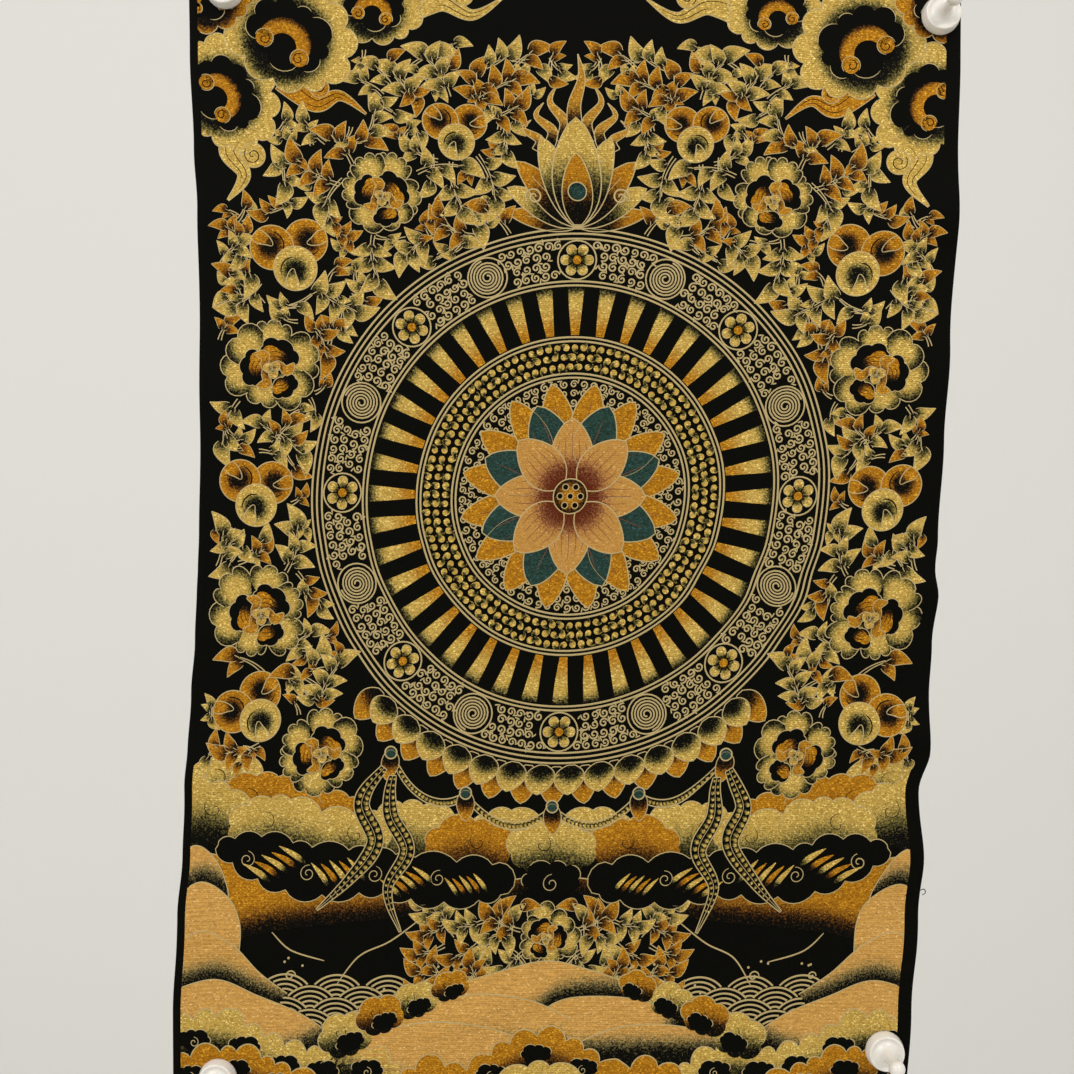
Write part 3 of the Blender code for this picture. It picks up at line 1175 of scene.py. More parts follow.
def bank(drawing, ridge, lobes, depth, level, warm=0.0):
    """A bank of cloud on the lower margin, with a row of dark hollows under its ridge."""
    crest = scalloped(ridge, lobes, depth, closed=False)
    corners = [(crest[-1, 0], -FLAT_HEIGHT), (crest[0, 0], -FLAT_HEIGHT)]
    shade = above_line(smooth_path(ridge, 40) - (0, 13), 12)
    drawing.plate(np.concatenate([crest, corners]), level, shade, warm)
    drawing.line(crest, 0.6, level + 1)
    for lobe in range(0, lobes, 2):
        middle = crest[min((lobe + 1) * LOBE_POINTS, len(crest) - 1)] - (0, depth * 2.1)
        lobed_hollow(drawing, middle, depth * 3.4, 0, level + 1, lobe % 4 == 0)


def beaded_ribbon(drawing, path, widths, level, beads):
    """A ribbon of beads between pale edges."""
    path = smooth_path(path, 56)
    broad = widths_along(widths, 56)
    drawing.dark(tapered(path, broad), level, 0.55)
    drawing.line(path, 0.4, level + 1)
    side = side_normals(path)
    for offset in (-0.25, 0.25):
        for step in range(1, 54, 2):
            if broad[step] > 2.2:
                x, y = path[step] + side[step] * broad[step] * offset
                beads.append(Spot(x, y, 0, broad[step] * 0.19, level + 1))


def ring_spots(band, pitch, seed, blocked=(), size=0.98):
    """Spots in staggered rings that fill a band of the mandala between two radii."""
    draw = random.Random(seed)
    inner, outer = band
    rows = max(int(round((outer - inner) / (pitch * 0.92))), 1)
    spots = []
    for ring in range(rows):
        radius = inner + (ring + 0.5) * (outer - inner) / rows
        count = int(math.tau * radius / pitch)
        for step in range(count):
            x, y = MANDALA + polar(radius, 360 * (step + 0.5 * (ring % 2)) / count)
            if all(math.hypot(x - bx, y - by) > reach for bx, by, reach in blocked):
                spots.append(Spot(x, y, draw.uniform(0, 360), size * draw.uniform(0.9, 1.06)))
    return spots


def rings(drawing, centre, radii, width=0.6, level=1):
    for radius in radii:
        drawing.line(arc(centre, radius, 0, 360, int(radius * 1.7) + 16), width, level)


def petal_ring(drawing, inner, length, width, count, turn, level, finish, warm, ribs=0):
    """A ring of pointed petals, each overlapping its neighbours, with dark ribs if asked for."""
    for rank in range(count):
        way = turn + 360 * rank / count
        root = MANDALA + polar(inner, way + 90)
        here = level + 2 * (rank % 2)
        near, far = length * 0.08, length * 0.62
        petal(drawing, root, way, length, width, here, near, far, warm, edge=0.6, finish=finish)
        for rib in range(-ribs, ribs + 1):
            spread = rib / max(ribs, 1)
            line = [
                (spread * width * 0.10, length * 0.10), (spread * width * 0.33, length * 0.40),
                (spread * width * 0.30, length * (0.78 - 0.16 * abs(spread))),
            ]
            line = placed(smooth_path(line, 9), root, 1.0, way)
            drawing.line(line, 0.42, here + 1, 0.6, "russet thread")


# The picture: a generic design on the flat cut

MANDALA = np.array([0.0, -205.0])
MANDALA_RADIUS = 104.7
MANDALA_RINGS = (46.4, 48.0, 60.6, 62.2, 82.4, 84.0, 100.6, 102.6, 104.6)
HEART_FILL = (24, 45.6)
PEBBLE_BAND = (48.8, 60.0)
RAY_FOOT, RAY_LENGTH = 63.0, 18.6
CURL_BAND = (84.8, 100.0)
MEDALLION_RING = 92.3


def draw_mandala(curl_pitch):
    """Petals, pebbles, rays and a scrolled ring round one middle."""
    drawing = Drawing()
    rings(drawing, MANDALA, (6.8,), level=12)
    drawing.plate(arc(MANDALA, 6.8, 0, 350, 30), 11, fading(MANDALA, 8, 1), 1.0)
    for seed in range(7):
        at = MANDALA + polar(4.1 if seed else 0.0, 60 * seed)
        drawing.dark(arc(at, 1.0, 0, 330, 12), 12, pitch=2)
        drawing.line(arc(at, 1.25, 0, 360, 14), 0.4, 13)
    petal_ring(drawing, 5.5, 25, 17.5, 8, 0, 7, "rose tan weft", 0.0, ribs=2)
    petal_ring(drawing, 12, 26, 17.5, 8, 22.5, 4, "teal weft", 0.0)
    petal_ring(drawing, 17, 27.5, 13.5, 16, 11.25, 1, "gold weft", 1.0)
    fill = ring_spots(HEART_FILL, 3.9, 31, size=0.85)
    scattered("heart_curls", fill, curl_motif(), "pale thread")
    rings(drawing, MANDALA, MANDALA_RINGS, 0.75)
    pebbles = ring_spots(PEBBLE_BAND, 3.5, 11)
    scattered("mandala_pebbles", pebbles, pebble_motif(), "gold weft")
    rays = [
        Spot(*(MANDALA + polar(RAY_FOOT, turn + 90)), turn, RAY_LENGTH)
        for turn in range(0, 360, 9)
    ]
    scattered("mandala_rays", rays, ray_motif(), "gold weft")
    blocked = []
    for step in range(16):
        at = MANDALA + polar(MEDALLION_RING, 22.5 * step)
        blocked.append((*at, 9.3 if step % 2 else 9.0))
        if step % 2:
            whorl = spiral(at, 6.9, 0.8, 5, 22.5 * step, 1 if step % 4 == 1 else -1, 90)
            drawing.line(whorl, 0.66, 1)
            rings(drawing, at, (7.8,))
            continue
        for way in range(0, 360, 60):
            shape = placed(fan_petal(1.2, 6.4, 52, 1, 0.2), at, 1.0, 22.5 * step + way)
            drawing.plate(shape, 1, fading(at, 1.6, 5.2), 0.0, 1.5)
            drawing.line(shape[1:-1], 0.45, 2)
        drawing.plate(arc(at, 1.7, 0, 340, 14), 2, 1.0, 1.0, 2)
        rings(drawing, at, (7.6,))
    curls = ring_spots(CURL_BAND, curl_pitch, 23, blocked)
    scattered("mandala_curls", curls, curl_motif(), "pale thread")
    drawing.weave("mandala")


def flame(drawing, foot, height, lean, width, level, warm):
    """A tongue of flame that leans and then turns back at its tip."""
    across, up = foot
    spine = [
        (across, up), (across - lean * 0.25, up + height * 0.35),
        (across + lean, up + height * 0.7), (across + lean * 0.4, up + height),
    ]
    shape = tapered(smooth_path(spine, 20), width * (1 - np.linspace(0, 1, 20) ** 1.7))
    drawing.plate(shape, level, fading(foot, height * 0.1, height * 0.5), warm, 1.5, 0.45)


def draw_crest():
    """A lotus bud with a teal jewel over the mandala, flame tips above and scrolls beside it."""
    sides = Drawing(paired=True)
    root = np.array([0.0, -99.0])
    leaves = ((-80, 28, 9), (-62, 31, 11), (-43, 34, 12), (-22, 37, 13))
    for rank, (heading, length, width) in enumerate(leaves):
        level = 1 + 2 * rank
        near, far, warm = length * 0.3, length * 0.9, (rank + 1) % 2
        petal(sides, root, heading, length, width, level, near, far, warm, edge=0.55)
        rib = root + polar(np.linspace(8, length * 0.75, 8), heading + 90)
        sides.line(rib, 0.4, level + 1)
    hook(sides, (17, -88), 3.6, 1.6, -30, 1, 0.7, 12)
    for across, height, lean, width in ((5.5, 22, 4.5, 4.6), (10.5, 17, 5, 4.2), (15.5, 12, 5, 3.6)):
        flame(sides, (across, -64.5 - across * 0.35), height, lean, width, 1, 0.7)
    sides.weave("crest_side")
    drawing = Drawing()
    petal(drawing, root, 0, 42, 20, 9, 10, 34, edge=0.6)
    petal(drawing, root, 0, 28, 12.5, 11, 6, 23, 1.0)
    jewel = (0, -86)
    drawing.plate(arc(jewel, 3.4, 0, 350, 22), 13, fading(jewel, 6, 1), finish="teal weft")
    rings(drawing, jewel, (3.6,), 0.5, 14)
    flame(drawing, (0, -64), 32, 2.4, 6.0, 7, 0.8)
    drawing.weave("crest_bud")


def draw_corner_clouds():
    drawing = Drawing(paired=True)
    for path, widths, curl, warm in (
        (((66, -16), (52, -12), (40, -17), (28, -10)), (11, 9, 6, 3, 0.6), ((44, -9), 4.5, -60, 1), 0),
        (((128, -62), (136, -72), (131, -82), (138, -92)), (13, 10, 7, 4, 0.8),
         ((127, -74), 4.8, 40, -1), 0),
        (((114, -44), (102, -53), (92, -50), (82, -57)), (10, 8, 6, 3, 0.6),
         ((100, -47), 3.8, -30, 1), 1),
    ):
        cloud_tail(drawing, path, widths, curl, warm)
    cloud_head(drawing, (78, -14), 34, 12, level=1)
    cloud_head(drawing, (136, -50), 42, 66, level=1)
    cloud_head(drawing, (111, -26), 48, 30, level=5)
    cloud_head(drawing, (143, -12), 32, -10, level=9, warm=1.0)
    drawing.weave("corner_clouds")


# Each row: a place, and the radius there
BLOSSOMS = ((124.5, -252, 19.0), (122, -156, 19.0), (77, -88, 17.0), (97, -306, 17.0))
FRUITS = ((127, -205, 8.2), (113, -112, 8.6), (125, -290, 8.2), (47, -62, 7.0))
KEPT_CLEAR = (
    (0, -66, 21), (0, -88, 26), (111, -26, 25), (78, -14, 18), (138, -50, 22), (52, -14, 8),
    (36, -13, 7), (97, -50, 9), (86, -54, 5), (132, -76, 10), (137, -90, 5), (70, -312, 7),
    (76, -324, 7),
)
AMBER_SHARE = 0.45
# Each row: the size of the sprays that fill the gaps, their pairs of leaves, and the attempts
FILLING = ((0.95, 2, 800), (0.8, 2, 1200), (0.7, 1, 1600), (0.55, 1, 2400))


def draw_foliage(blossom_size, leaf_length):
    """Blossoms, fruits and leaf sprays down both sides of the mandala."""
    drawing = Drawing(paired=True)
    band = MANDALA + polar(110, 270 + np.arange(-45, 46, 9))
    blocked = [(*MANDALA, MANDALA_RADIUS + 0.6), *KEPT_CLEAR, *((x, y, 12) for x, y in band)]
    draw = random.Random(7)
    centres = []
    for across, up, radius in BLOSSOMS:
        peony(drawing, (across, up), radius * blossom_size, draw.uniform(0, 50))
        centres.append((across, up, radius * blossom_size * 0.95))
    for across, up, radius in FRUITS:
        fruit_cluster(drawing, (across, up), radius * blossom_size, draw.uniform(-40, 40))
        centres.append((across, up, radius * blossom_size * 1.75))
    growth = Foliage(5, blocked + centres, -26, -316)
    for across, up, radius in centres:
        for step in range(9):
            heading = 40 * step + draw.uniform(-12, 12)
            at = np.array([across, up]) + polar(radius - 0.5, heading)
            warm = float(draw.random() < AMBER_SHARE)
            growth.spray(at, heading, leaf_length, draw.choice((-36, 36)), 3, warm)
    for size, pairs, attempts in FILLING:
        for attempt in range(attempts):
            at = (draw.uniform(4, 143), draw.uniform(-316, -28))
            heading = draw.uniform(0, 360)
            warm = float(draw.random() < AMBER_SHARE)
            growth.spray(at, heading, leaf_length * size, draw.choice((-30, 30)), pairs, warm)
    drawing.weave("foliage")
    growth.weave("foliage_stems")


def draw_petal_band():
    """A seat of lotus petals under the mandala, with beaded swags and ribbons below it."""
    drawing = Drawing()
    rows = ((15, 106, 15, 11.5, 1.0), (14, 105.5, 11.5, 12.5, 0.0))
    for rank, (count, inner, length, width, warm) in enumerate(rows):
        for place in range(count):
            heading = 180 + (place - (count - 1) / 2) * 6.2
            root = MANDALA + polar(inner, heading + 90)
            level = 1 + 4 * rank + 2 * (place % 2)
            petal(drawing, root, heading, length, width, level, 3, length * 0.85, warm, 1.8)
            line = straight(root, root + polar(length * 0.6, heading + 90), 3)
            drawing.line(line, 0.5, level + 1, 0.6, "black satin")
    beads = []
    knots = [MANDALA + polar(122.5, 270 + step * 8.4) for step in (-4, -2, 0, 2, 4)]
    share = np.linspace(0.0, 1.0, 23)
    sag = np.stack([0 * share, 36 * share * (1 - share)], 1)
    for start, end in zip(knots, knots[1:]):
        hung = start + (end - start) * share[:, None] - sag
        for offset in (-1.5, 1.5):
            drawing.line(hung + (0, offset), 0.5, 9)
        beads += [Spot(x, y, 0, 0.95, 9) for x, y in hung[1:-1]]
    for knot in knots:
        shape = placed(lotus_petal(12, 7.5), knot + (0, 2), 1.0, 180)
        drawing.plate(shape, 10, fading(knot, 2, 9), 1.0, 1.6, 0.45)
        drawing.line(arc(knot + (0, 1), 2.4, 0, 360, 18), 0.6, 12)
        drawing.plate(arc(knot + (0, 1), 2.0, 0, 340, 14), 11, finish="teal weft")
    for side in (1, -1):
        for path, widths in (
            ([(70, -312), (78, -326), (72, -341), (82, -356), (94, -368)], (3, 6, 7, 6, 3.5, 0.8)),
            ([(66, -315), (66, -330), (59, -344), (66, -359), (60, -376)], (3, 6, 6.5, 5, 3, 0.8)),
        ):
            beaded_ribbon(drawing, np.array(path) * (side, 1), widths, 14, beads)
    drawing.weave("petal_band")
    scattered("band_beads", beads, bead_motif(), "gold weft")


Cloud = namedtuple("Cloud", "across up width height level warm lobes")
CLOUDS = [Cloud(*row) for row in (
    (133, -319, 30, 20, 0, 0.0, 7), (118, -327, 44, 22, 2, 1.0, 9), (142, -331, 34, 24, 4, 0.0, 8),
    (94, -332, 36, 20, 0, 1.0, 8), (112, -336, 38, 22, 6, 0.0, 9), (84, -340, 34, 20, 4, 0.0, 8),
    (58, -338, 40, 24, 2, 0.0, 9), (34, -342, 34, 20, 5, 1.0, 8), (18, -338, 30, 20, 3, 0.0, 7),
)]
DARK_DRIFT = (
    (20, -361), (46, -364), (72, -361), (98, -362), (120, -356), (136, -344),
    (118, -340), (96, -344), (72, -345), (46, -348), (22, -350),
)
FINGERS = ((112, -350, 15, -38), (86, -353, 14, -20), (58, -356, 13, -34), (34, -357, 11, -20))


def draw_lower_clouds():
    """Clouds under the foliage, a dark drift, a long amber one and a spray of leaves."""
    drawing = Drawing(paired=True)
    ridge = [(152, -344), (128, -349), (104, -350), (80, -355), (54, -353), (28, -356), (-1, -353)]
    swell(drawing, ridge, [(20, -364), (64, -371), (108, -376), (152, -382)], 0, 1.0)
    for cloud in CLOUDS:
        puff(drawing, cloud[:2], *cloud[2:6], 0.0, cloud.lobes)
    drawing.dark(scalloped(np.array(DARK_DRIFT, float), 21, 2.6, each=7), 7, 0.45, 2.4)
    for across, up, size, turn in FINGERS:
        fingers(drawing, (across, up), size, turn, 8)
    for across, up, sense in ((124, -349, 1), (99, -354, -1), (72, -354, 1), (46, -355, -1)):
        hook(drawing, (across, up), 3.4, 1.5, 100, sense, 0.6, 8)
    growth = Foliage(9, [(0, -377, 11), (66, -362, 6), (60, -372, 4), (94, -360, 7)], -361, -404)
    for step in range(8):
        way = 45 * step - 80
        at = np.array([0.0, -377]) + polar(10.5, way)
        growth.spray(at, way, 10, 26 - 52 * (step % 2), 2, (step // 2) % 2)
    draw = growth.random
    for attempt in range(300):
        at = (draw.uniform(12, 46), draw.uniform(-402, -360))
        warm = draw.choice((0.0, 1.0))
        growth.spray(at, draw.uniform(0, 360), 8.5, 28, 2, warm)
    for bough in ([(52, -371), (64, -380), (76, -386), (84, -397)], [(112, -377), (104, -384), (90, -388)]):
        drawing.line(smooth_path(bough, 24), 0.6, 1, 0.5)
    drawing.weave("lower_clouds")
    growth.weave("lower_stems", "lower_")
    middle = Drawing()
    puff(middle, (0, -343), 34, 20, 7, 0.0, 0, 8)
    lobed_hollow(middle, (0, -355), 22, 0, 9)
    peony(middle, (0, -377), 12.5, 12)
    middle.weave("middle_cloud")


# Each mound: its ridge from right to left, and the points of its belly
SIDE_MOUNDS = (
    (((154, -350), (145, -344), (137, -349), (131, -360), (130, -366)), ((134, -384), (146, -390))),
    (((154, -366), (142, -358), (130, -364), (125, -374), (125, -388)), ((126, -400), (144, -405))),
    (((154, -386), (141, -377), (128, -382), (116, -393), (104, -401)), ((116, -410), (140, -414))),
    (((154, -402), (134, -396), (116, -402), (98, -409), (84, -418)), ((104, -426), (138, -430))),
)
MIDDLE_MOUNDS = (
    (((50, -404), (34, -396), (16, -390), (0, -387), (-18, -391), (-36, -397), (-52, -406)),
     ((-26, -417), (24, -417))),
    (((58, -410), (42, -403), (22, -401), (6, -403), (-6, -412)), ((8, -424), (40, -425))),
    (((12, -410), (-6, -402), (-26, -400), (-44, -404), (-60, -411)), ((-40, -426), (-8, -426))),
    (((90, -426), (70, -416), (48, -412), (28, -414), (8, -422)), ((30, -436), (66, -438))),
    (((4, -424), (-18, -414), (-42, -411), (-68, -416), (-90, -428)), ((-62, -438), (-26, -438))),
)
FIRST_MOUND_LEVEL = 8
RIDGE_CLOUDS = [Cloud(*row) for row in (
    (80, -417, 20, 15, 15, 0.0, 6), (66, -409, 18, 13, 18, 1.0, 6),
    (52, -403, 17, 12, 15, 0.0, 6), (38, -397, 14, 10, 18, 1.0, 6),
)]


def draw_water_and_hills(wave_pitch):
    """Swells of water between hills whose mounds fade into the dark at their feet."""
    drawing = Drawing()
    covers = []
    for side, mounds in ((1, SIDE_MOUNDS), (-1, SIDE_MOUNDS), (1, MIDDLE_MOUNDS)):
        lines = [[np.array(line)[::side] * (side, 1) for line in mound] for mound in mounds]
        for rank, (ridge, belly) in enumerate(lines):
            level = FIRST_MOUND_LEVEL + rank
            dark = lines[rank + 1][0] if rank != 1 and rank + 1 < len(lines) else None
            covers.append(swell(drawing, ridge, belly, level, 0.0, 13, "tan weft", dark))
    for side in (-1, 1):
        for cloud in RIDGE_CLOUDS:
            at = np.array(cloud[:2]) * (side, 1)
            puff(drawing, at, *cloud[2:6], -20 * side, cloud.lobes)
            hollow = at - (2 * side, cloud.width * 0.12)
            lobed_hollow(drawing, hollow, cloud.width * 0.55, -20 * side, cloud.level + 1, False)
    dots = []
    draw = random.Random(3)
    for row in range(7):
        for step in range(-8, 9):
            at = np.array([(step + 0.5 * (row % 2)) * 21.0, -406 - 4.6 * row])
            lower = [arc(at + (side * 10.5, -4.6), 12.5, 0, 340, 26) for side in (-1, 1)]
            for line in range(5):
                crest = arc(at, 12.5 - wave_pitch * line, 25, 155, 22)
                hidden = np.zeros(len(crest), bool)
                for cover in covers + (lower if row < 6 else []):
                    hidden |= inside(crest, cover)
                runs = np.flatnonzero(np.diff(np.concatenate([[0], ~hidden, [0]])))
                for start, end in zip(runs[::2], runs[1::2]):
                    if end - start > 2:
                        drawing.line(crest[start:end], 0.75, 0)
            spray = at + (draw.uniform(-6, 6), draw.uniform(13.2, 14.4))
            clear = not any(inside(spray[None], cover)[0] for cover in covers)
            if row in (0, 2) and clear and draw.random() < 0.75:
                hook(drawing, spray - (0, 1.5), draw.uniform(1.6, 2.4), 1.2, 0, 1, 0.6, 2)
                for drop in range(3):
                    x, y = spray + polar(draw.uniform(3, 6.5), draw.uniform(20, 160))
                    if PICTURE_LEFT + 1 < x < PICTURE_RIGHT - 1:
                        dots.append(Spot(x, y, 0, 0.5, 2))
    drawing.weave("water_and_hills")
    scattered("water_drops", dots, bead_motif(), "pale thread")


def draw_foot_clouds():
    """Lobed banks of cloud along the bottom edge."""
    sides = Drawing(paired=True)
    bank(sides, [(150, -414), (130, -411), (112, -419), (94, -424), (76, -421), (56, -431)], 11, 3.6, 12)
    bank(sides, [(150, -428), (124, -424), (104, -431), (84, -440)], 8, 3.2, 15, 1.0)
    sides.weave("foot_clouds")
    drawing = Drawing()
    half = [(64, -438), (46, -428), (30, -430), (14, -420)]
    ridge = half + [(0, -416)] + [(-across, up) for across, up in half[::-1]]
    bank(drawing, ridge, 14, 3.4, 20, 1.0)
    bank(drawing, [(36, -444), (18, -434), (0, -428), (-18, -434), (-36, -444)], 7, 3.0, 23)
    drawing.weave("foot_cloud_middle")


# Ground, magnets and the loose thread

GROUND_COLUMNS = 120
GROUND_ROWS = 180
EDGE_STEPS = 5


def ground_mesh():
    """The satin cloth as a closed sheet with rounded edges, laid on the folds."""
    across = np.linspace(-FLAT_WIDTH / 2, FLAT_WIDTH / 2, GROUND_COLUMNS + 1)
    up = np.linspace(0.0, -FLAT_HEIGHT, GROUND_ROWS + 1)
    grid = np.stack(np.meshgrid(across, up), axis=-1).reshape(-1, 2)
    total = len(grid)
    index = np.arange(total).reshape(GROUND_ROWS + 1, GROUND_COLUMNS + 1)
    cells = np.stack([index[:-1, :-1], index[1:, :-1], index[1:, 1:], index[:-1, 1:]], axis=-1)
    front = cells.reshape(-1, 4)
    rim = np.concatenate([index[:-1, 0], index[-1, :-1], index[:0:-1, -1], index[0, :0:-1]])
    corner = np.sign(grid[rim] - (0, -FLAT_HEIGHT / 2))
    side = np.isclose(np.abs(grid[rim][:, 0]), FLAT_WIDTH / 2)
    end = np.isclose(grid[rim][:, 1], 0) | np.isclose(grid[rim][:, 1], -FLAT_HEIGHT)
    outward = corner * np.stack([side, end], axis=1)
    half = (GROUND_FRONT - GROUND_BACK) / 2
    layers = [raised(grid, 0.0), raised(grid, -2 * half)]
    for step in range(1, EDGE_STEPS):
        angle = math.pi * (0.5 - step / EDGE_STEPS)
        ring = grid[rim] + outward * half * math.cos(angle)
        layers.append(raised(ring, half * (math.sin(angle) - 1)))
    points = on_cloth(np.concatenate(layers))
    loops = [rim] + [2 * total + k * len(rim) + np.arange(len(rim)) for k in range(EDGE_STEPS - 1)]
    loops.append(rim + total)
    faces = [front, front[:, ::-1] + total]
    for near, far in zip(loops, loops[1:]):
        faces.append(np.stack([near, far, np.roll(far, -1), np.roll(near, -1)], axis=1))
    mesh = bpy.data.meshes.new("woven_ground")
    mesh.from_pydata(points.tolist(), [], np.concatenate(faces).tolist())
    behind = np.zeros(len(points))
    behind[total : 2 * total] = 1.0
    add_values(mesh, "behind", behind)
    mesh.shade_smooth()
    add_front_map(mesh, points)
    return mesh


KNOB_CENTRE = 16.2
KNOB_RADIUS = 3.05
BODY_PROFILE = (
    (1.60, 12.6), (1.62, 11.6), (1.80, 9.2), (2.35, 7.0), (3.25, 5.2), (4.40, 4.1), (5.20, 3.85),
    (5.80, 4.25), (6.15, 4.5), (6.50, 4.5), (6.75, 4.25), (6.90, 3.8), (7.35, 1.6), (7.48, 0.6),
    (7.40, 0.15), (7.20, 0.0), (0.0, 0.0),
)
# How many rows of the profile the neck's smooth curve runs through
NECK_ROWS = 7
TURNED_STEPS = 56


def magnet_mesh(place):
    """A push-pin magnet turned about its axis: knob, waisted neck, dish, rim and tapered foot."""
    knob = polar(KNOB_RADIUS, np.linspace(90, -50, 16)) + (0, KNOB_CENTRE)
    neck = smooth_path(np.concatenate([knob[-1:], BODY_PROFILE[:NECK_ROWS]]), 18)[1:]
    outline = np.concatenate([knob, neck, BODY_PROFILE[NECK_ROWS:]])
    points = [(0.0, -outline[0, 1], 0.0)]
    around = np.linspace(0, math.tau, TURNED_STEPS, endpoint=False)
    for radius, height in outline[1:-1]:
        points += [(radius * math.cos(a), -height, radius * math.sin(a)) for a in around]
    points.append((0.0, -outline[-1, 1], 0.0))
    starts = range(1, len(points) - 1, TURNED_STEPS)
    faces = []
    for step in range(TURNED_STEPS):
        after = (step + 1) % TURNED_STEPS
        faces.append((0, 1 + step, 1 + after))
        for upper, lower in zip(starts, starts[1:]):
            faces.append((upper + step, lower + step, lower + after, upper + after))
        faces.append((starts[-1] + step, len(points) - 1, starts[-1] + after))
    places = (np.array(points) + (place.across, -MAGNET_FOOT, -place.down)) * MM
    mesh = bpy.data.meshes.new(place.node + "_turned")
    mesh.from_pydata(places.tolist(), [], faces)
    mesh.shade_smooth()
    add_front_map(mesh, places)
    return mesh


# Sizes and colours that a user would change


def colour(name, description, *display):
    return bpy.props.FloatVectorProperty(
        name=name, description=description, default=linear(*display), size=3, min=0, max=1,
        subtype="COLOR",
    )


class WovenPanelSettings(bpy.types.PropertyGroup):
    blossom_size: bpy.props.FloatProperty(
        name="Blossom size", description="Size of the peonies and fruits beside the mandala, as a factor",
        default=1.0, min=0.7, max=1.15, subtype="FACTOR",
    )
    leaf_length: bpy.props.FloatProperty(
        name="Leaf length", description="Length of a leaf in the main sprays",
        default=0.0108, min=0.009, max=0.02, unit="LENGTH",
    )
    curl_pitch: bpy.props.FloatProperty(
        name="Curl pitch", description="Distance between the small scrolls in the mandala's ring",
        default=0.0038, min=0.0034, max=0.008, unit="LENGTH",
    )
    wave_pitch: bpy.props.FloatProperty(
        name="Wave pitch", description="Distance between the lines of one swell of water",
        default=0.0019, min=0.0012, max=0.003, unit="LENGTH",
    )
    ground_colour: colour("Ground colour", "Colour of the satin ground", 12, 12, 7)
    gold_colour: colour("Gold colour", "Pale gold wefts in the light", 207, 175, 91)
    amber_colour: colour("Amber colour", "Amber wefts in the light", 188, 130, 34)
    tan_colour: colour("Tan colour", "The hills' tan wefts in the light", 202, 157, 87)
    rose_colour: colour("Rose tan colour", "The middle flower's wefts in the light", 188, 142, 76)
    teal_colour: colour("Teal colour", "Teal wefts in the light", 48, 74, 68)
    outline_colour: colour("Outline colour", "Pale outline threads", 186, 166, 114)
    plastic_colour: colour("Plastic colour", "The magnets' plastic", 226, 223, 217)


def settings():
    return bpy.context.scene.woven_panel


# Operators, one for each group of pieces


class PANEL_OT_ground(bpy.types.Operator):
    """Hangs the black satin cloth on its folds"""

    bl_idname = "woven_panel.add_ground"
    bl_label = "Satin Ground"

    def execute(self, context):
        ground = add_piece("woven_ground", ground_mesh(), "black satin")
        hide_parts("woven_panel")
        return {"FINISHED"}


class PANEL_OT_mandala(bpy.types.Operator):
    """Weaves the mandala in the middle"""

    bl_idname = "woven_panel.add_mandala"
    bl_label = "Mandala"

    def execute(self, context):
        draw_mandala(settings().curl_pitch / MM)
        return {"FINISHED"}


class PANEL_OT_crest(bpy.types.Operator):
    """Weaves the lotus bud above the mandala"""

    bl_idname = "woven_panel.add_crest"
    bl_label = "Crest"

    def execute(self, context):
        draw_crest()
        return {"FINISHED"}


class PANEL_OT_corner_clouds(bpy.types.Operator):
    """Weaves the clouds in the upper corners"""

    bl_idname = "woven_panel.add_corner_clouds"
    bl_label = "Corner Clouds"

    def execute(self, context):
        draw_corner_clouds()
        return {"FINISHED"}


class PANEL_OT_foliage(bpy.types.Operator):
    """Weaves the blossoms, fruits and leaf sprays"""

    bl_idname = "woven_panel.add_foliage"
    bl_label = "Foliage"

    def execute(self, context):
        draw_foliage(settings().blossom_size, settings().leaf_length / MM)
        return {"FINISHED"}


class PANEL_OT_petal_band(bpy.types.Operator):
    """Weaves the band of petals and its beaded swags"""

    bl_idname = "woven_panel.add_petal_band"
    bl_label = "Petal Band"

    def execute(self, context):
        draw_petal_band()
        return {"FINISHED"}


class PANEL_OT_landscape(bpy.types.Operator):
    """Weaves the clouds, water and hills below"""

    bl_idname = "woven_panel.add_landscape"
    bl_label = "Clouds, Water and Hills"

    def execute(self, context):
        draw_lower_clouds()
        draw_water_and_hills(settings().wave_pitch / MM)
        draw_foot_clouds()
        return {"FINISHED"}


class PANEL_OT_loose_thread(bpy.types.Operator):
    """Adds the short thread that sticks out of the right edge"""

    bl_idname = "woven_panel.add_loose_thread"
    bl_label = "Loose Thread"

    def execute(self, context):
        tray = Tray(clipped=False)
        loop = smooth_path([(149.5, -361.2), (151.6, -360.2), (152.6, -361.6), (151.4, -362.6)], 14)
        tray.thread(loop, 0.35, -14)
        weave("loose_thread", tray, "black satin")
        return {"FINISHED"}


class PANEL_OT_magnets(bpy.types.Operator):
    """Sets a push-pin magnet on each corner of the cloth"""

    bl_idname = "woven_panel.add_magnets"
    bl_label = "Magnets"

    def execute(self, context):
        for place in MAGNETS:
            name = place.node + "_turned"
            piece = add_piece(name, magnet_mesh(place), "white plastic", "white_plastic")
            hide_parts(place.node)
        return {"FINISHED"}


# The stage, in metres
CAMERA_PLACE = (-0.0143, -0.453, -0.2237)
CAMERA_HALF_ANGLE = 24.87
FLOOR = -1.3
WALL = 1.6
STAGE_REACH = 5.0
STAGE_TOP = 4.0
LIGHTS_AIM = Vector((0, 0, -0.2))
ROOM_COLOUR = (0.9, 0.89, 0.87, 1.0)
ROOM_STRENGTH = 0.965


def add_stage_plane(name, corners):
    mesh = bpy.data.meshes.new(name)
    mesh.from_pydata(corners, [], [(0, 1, 2, 3)])
    mesh.materials.append(finished("pale stage"))
    plane = linked(name, mesh)


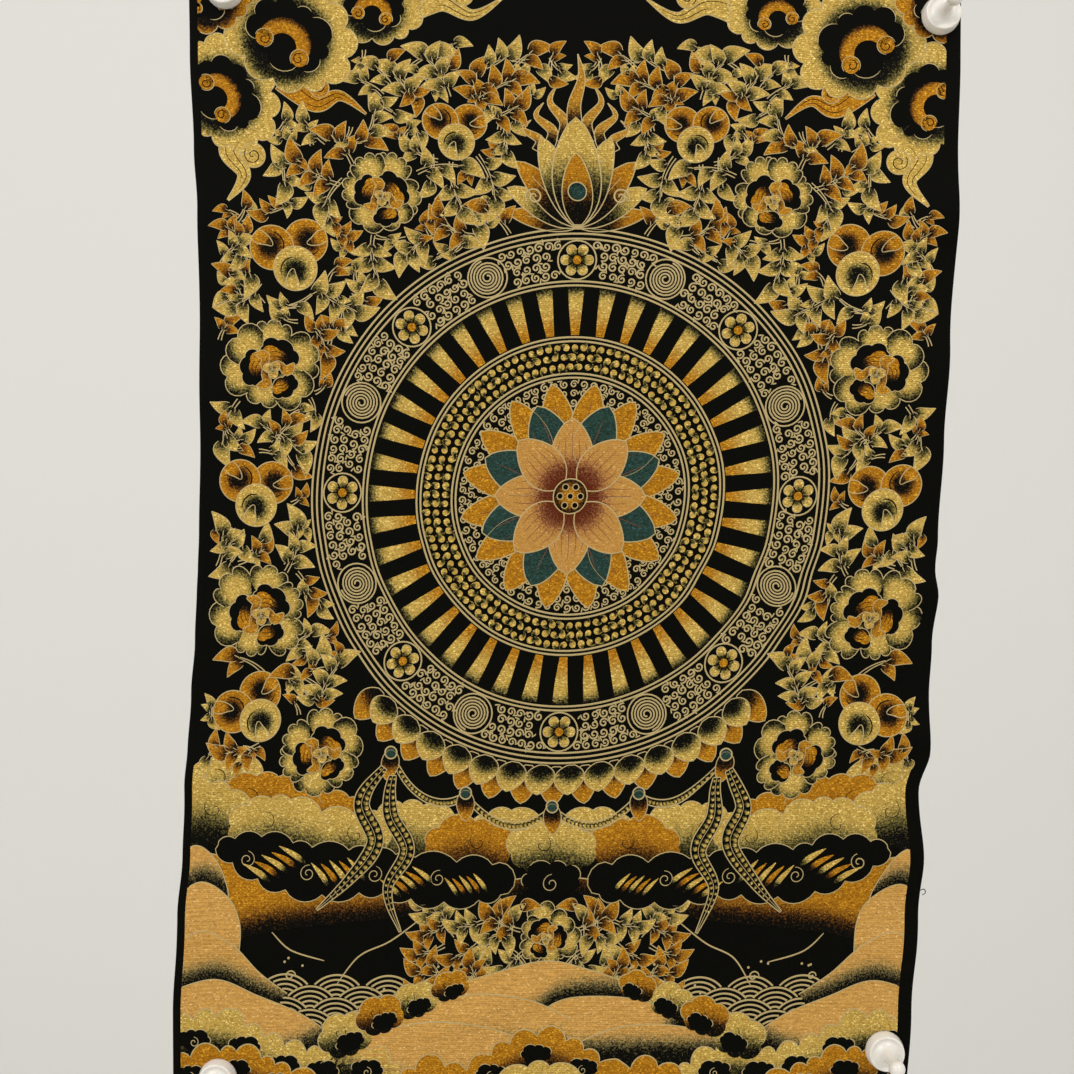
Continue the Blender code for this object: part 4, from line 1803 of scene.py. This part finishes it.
def add_light(name, place, size, power, tint):
    light = bpy.data.lights.new(name, "AREA")
    light.shape = "SQUARE"
    light.size = size
    light.energy = power
    light.color = tint
    lamp = linked(name, light)
    lamp.location = place
    lamp.rotation_euler = (LIGHTS_AIM - Vector(place)).to_track_quat("-Z", "Y").to_euler()


class PANEL_OT_stage(bpy.types.Operator):
    """Adds the pale floor and backdrop, the lights and the camera"""

    bl_idname = "woven_panel.add_stage"
    bl_label = "Stage"

    def execute(self, context):
        left, right = (-STAGE_REACH, WALL, FLOOR), (STAGE_REACH, WALL, FLOOR)
        top = [(right[0], WALL, STAGE_TOP), (left[0], WALL, STAGE_TOP)]
        add_stage_plane("backdrop", [left, right, *top])
        near = [(left[0], -STAGE_REACH, FLOOR), (right[0], -STAGE_REACH, FLOOR)]
        add_stage_plane("floor", [*near, right, left])
        scene = context.scene
        scene.view_settings.view_transform = "Standard"
        scene.world = bpy.data.worlds.new("pale room")
        scene.world.use_nodes = True
        room = scene.world.node_tree.nodes["Background"].inputs
        room["Color"].default_value = ROOM_COLOUR
        room["Strength"].default_value = ROOM_STRENGTH
        add_light("window", (-1.5, -1.5, 1.0), 1.6, 22, (1.0, 0.98, 0.95))
        add_light("lamp", (0.9, -1.1, 0.9), 0.5, 8, (1.0, 0.94, 0.86))
        camera = linked("camera", bpy.data.cameras.new("camera"))
        camera.data.sensor_width = 36.0
        camera.data.lens = 18.0 / math.tan(math.radians(CAMERA_HALF_ANGLE))
        camera.data.clip_start = 0.01
        camera.location = CAMERA_PLACE
        camera.rotation_euler = (math.radians(90), 0.0, 0.0)
        scene.camera = camera
        return {"FINISHED"}


OPERATORS = (
    PANEL_OT_ground, PANEL_OT_mandala, PANEL_OT_crest, PANEL_OT_corner_clouds, PANEL_OT_foliage,
    PANEL_OT_petal_band, PANEL_OT_landscape, PANEL_OT_loose_thread, PANEL_OT_magnets,
    PANEL_OT_stage,
)


class PANEL_PT_woven(bpy.types.Panel):
    """Lists the settings and one button for each group of pieces"""

    bl_idname = "PANEL_PT_woven"
    bl_label = "Woven Thangka Panel"
    bl_space_type = "VIEW_3D"
    bl_region_type = "UI"
    bl_category = "Thangka"

    def draw(self, context):
        for name in WovenPanelSettings.__annotations__:
            self.layout.prop(settings(), name)
        for operator in OPERATORS:
            self.layout.operator(operator.bl_idname)


CLASSES = (WovenPanelSettings, *OPERATORS, PANEL_PT_woven)


def register():
    for part in CLASSES:
        bpy.utils.register_class(part)
    bpy.types.Scene.woven_panel = bpy.props.PointerProperty(type=WovenPanelSettings)


def unregister():
    del bpy.types.Scene.woven_panel
    for part in reversed(CLASSES):
        bpy.utils.unregister_class(part)


def declare_cloth():
    """Looks up the ground, the pieces woven into it and the magnets' names, and does nothing more with them.
    """
    ground = bpy.data.objects["woven_ground"]
    woven = [piece for piece in bpy.data.objects if piece.get("woven") and piece != ground]
    [magnet.node + "_turned" for magnet in MAGNETS]


def main():
    register()
    for operator in OPERATORS:
        module, name = operator.bl_idname.split(".")
        getattr(getattr(bpy.ops, module), name)()
    declare_cloth()


if __name__ == "__main__":
    main()
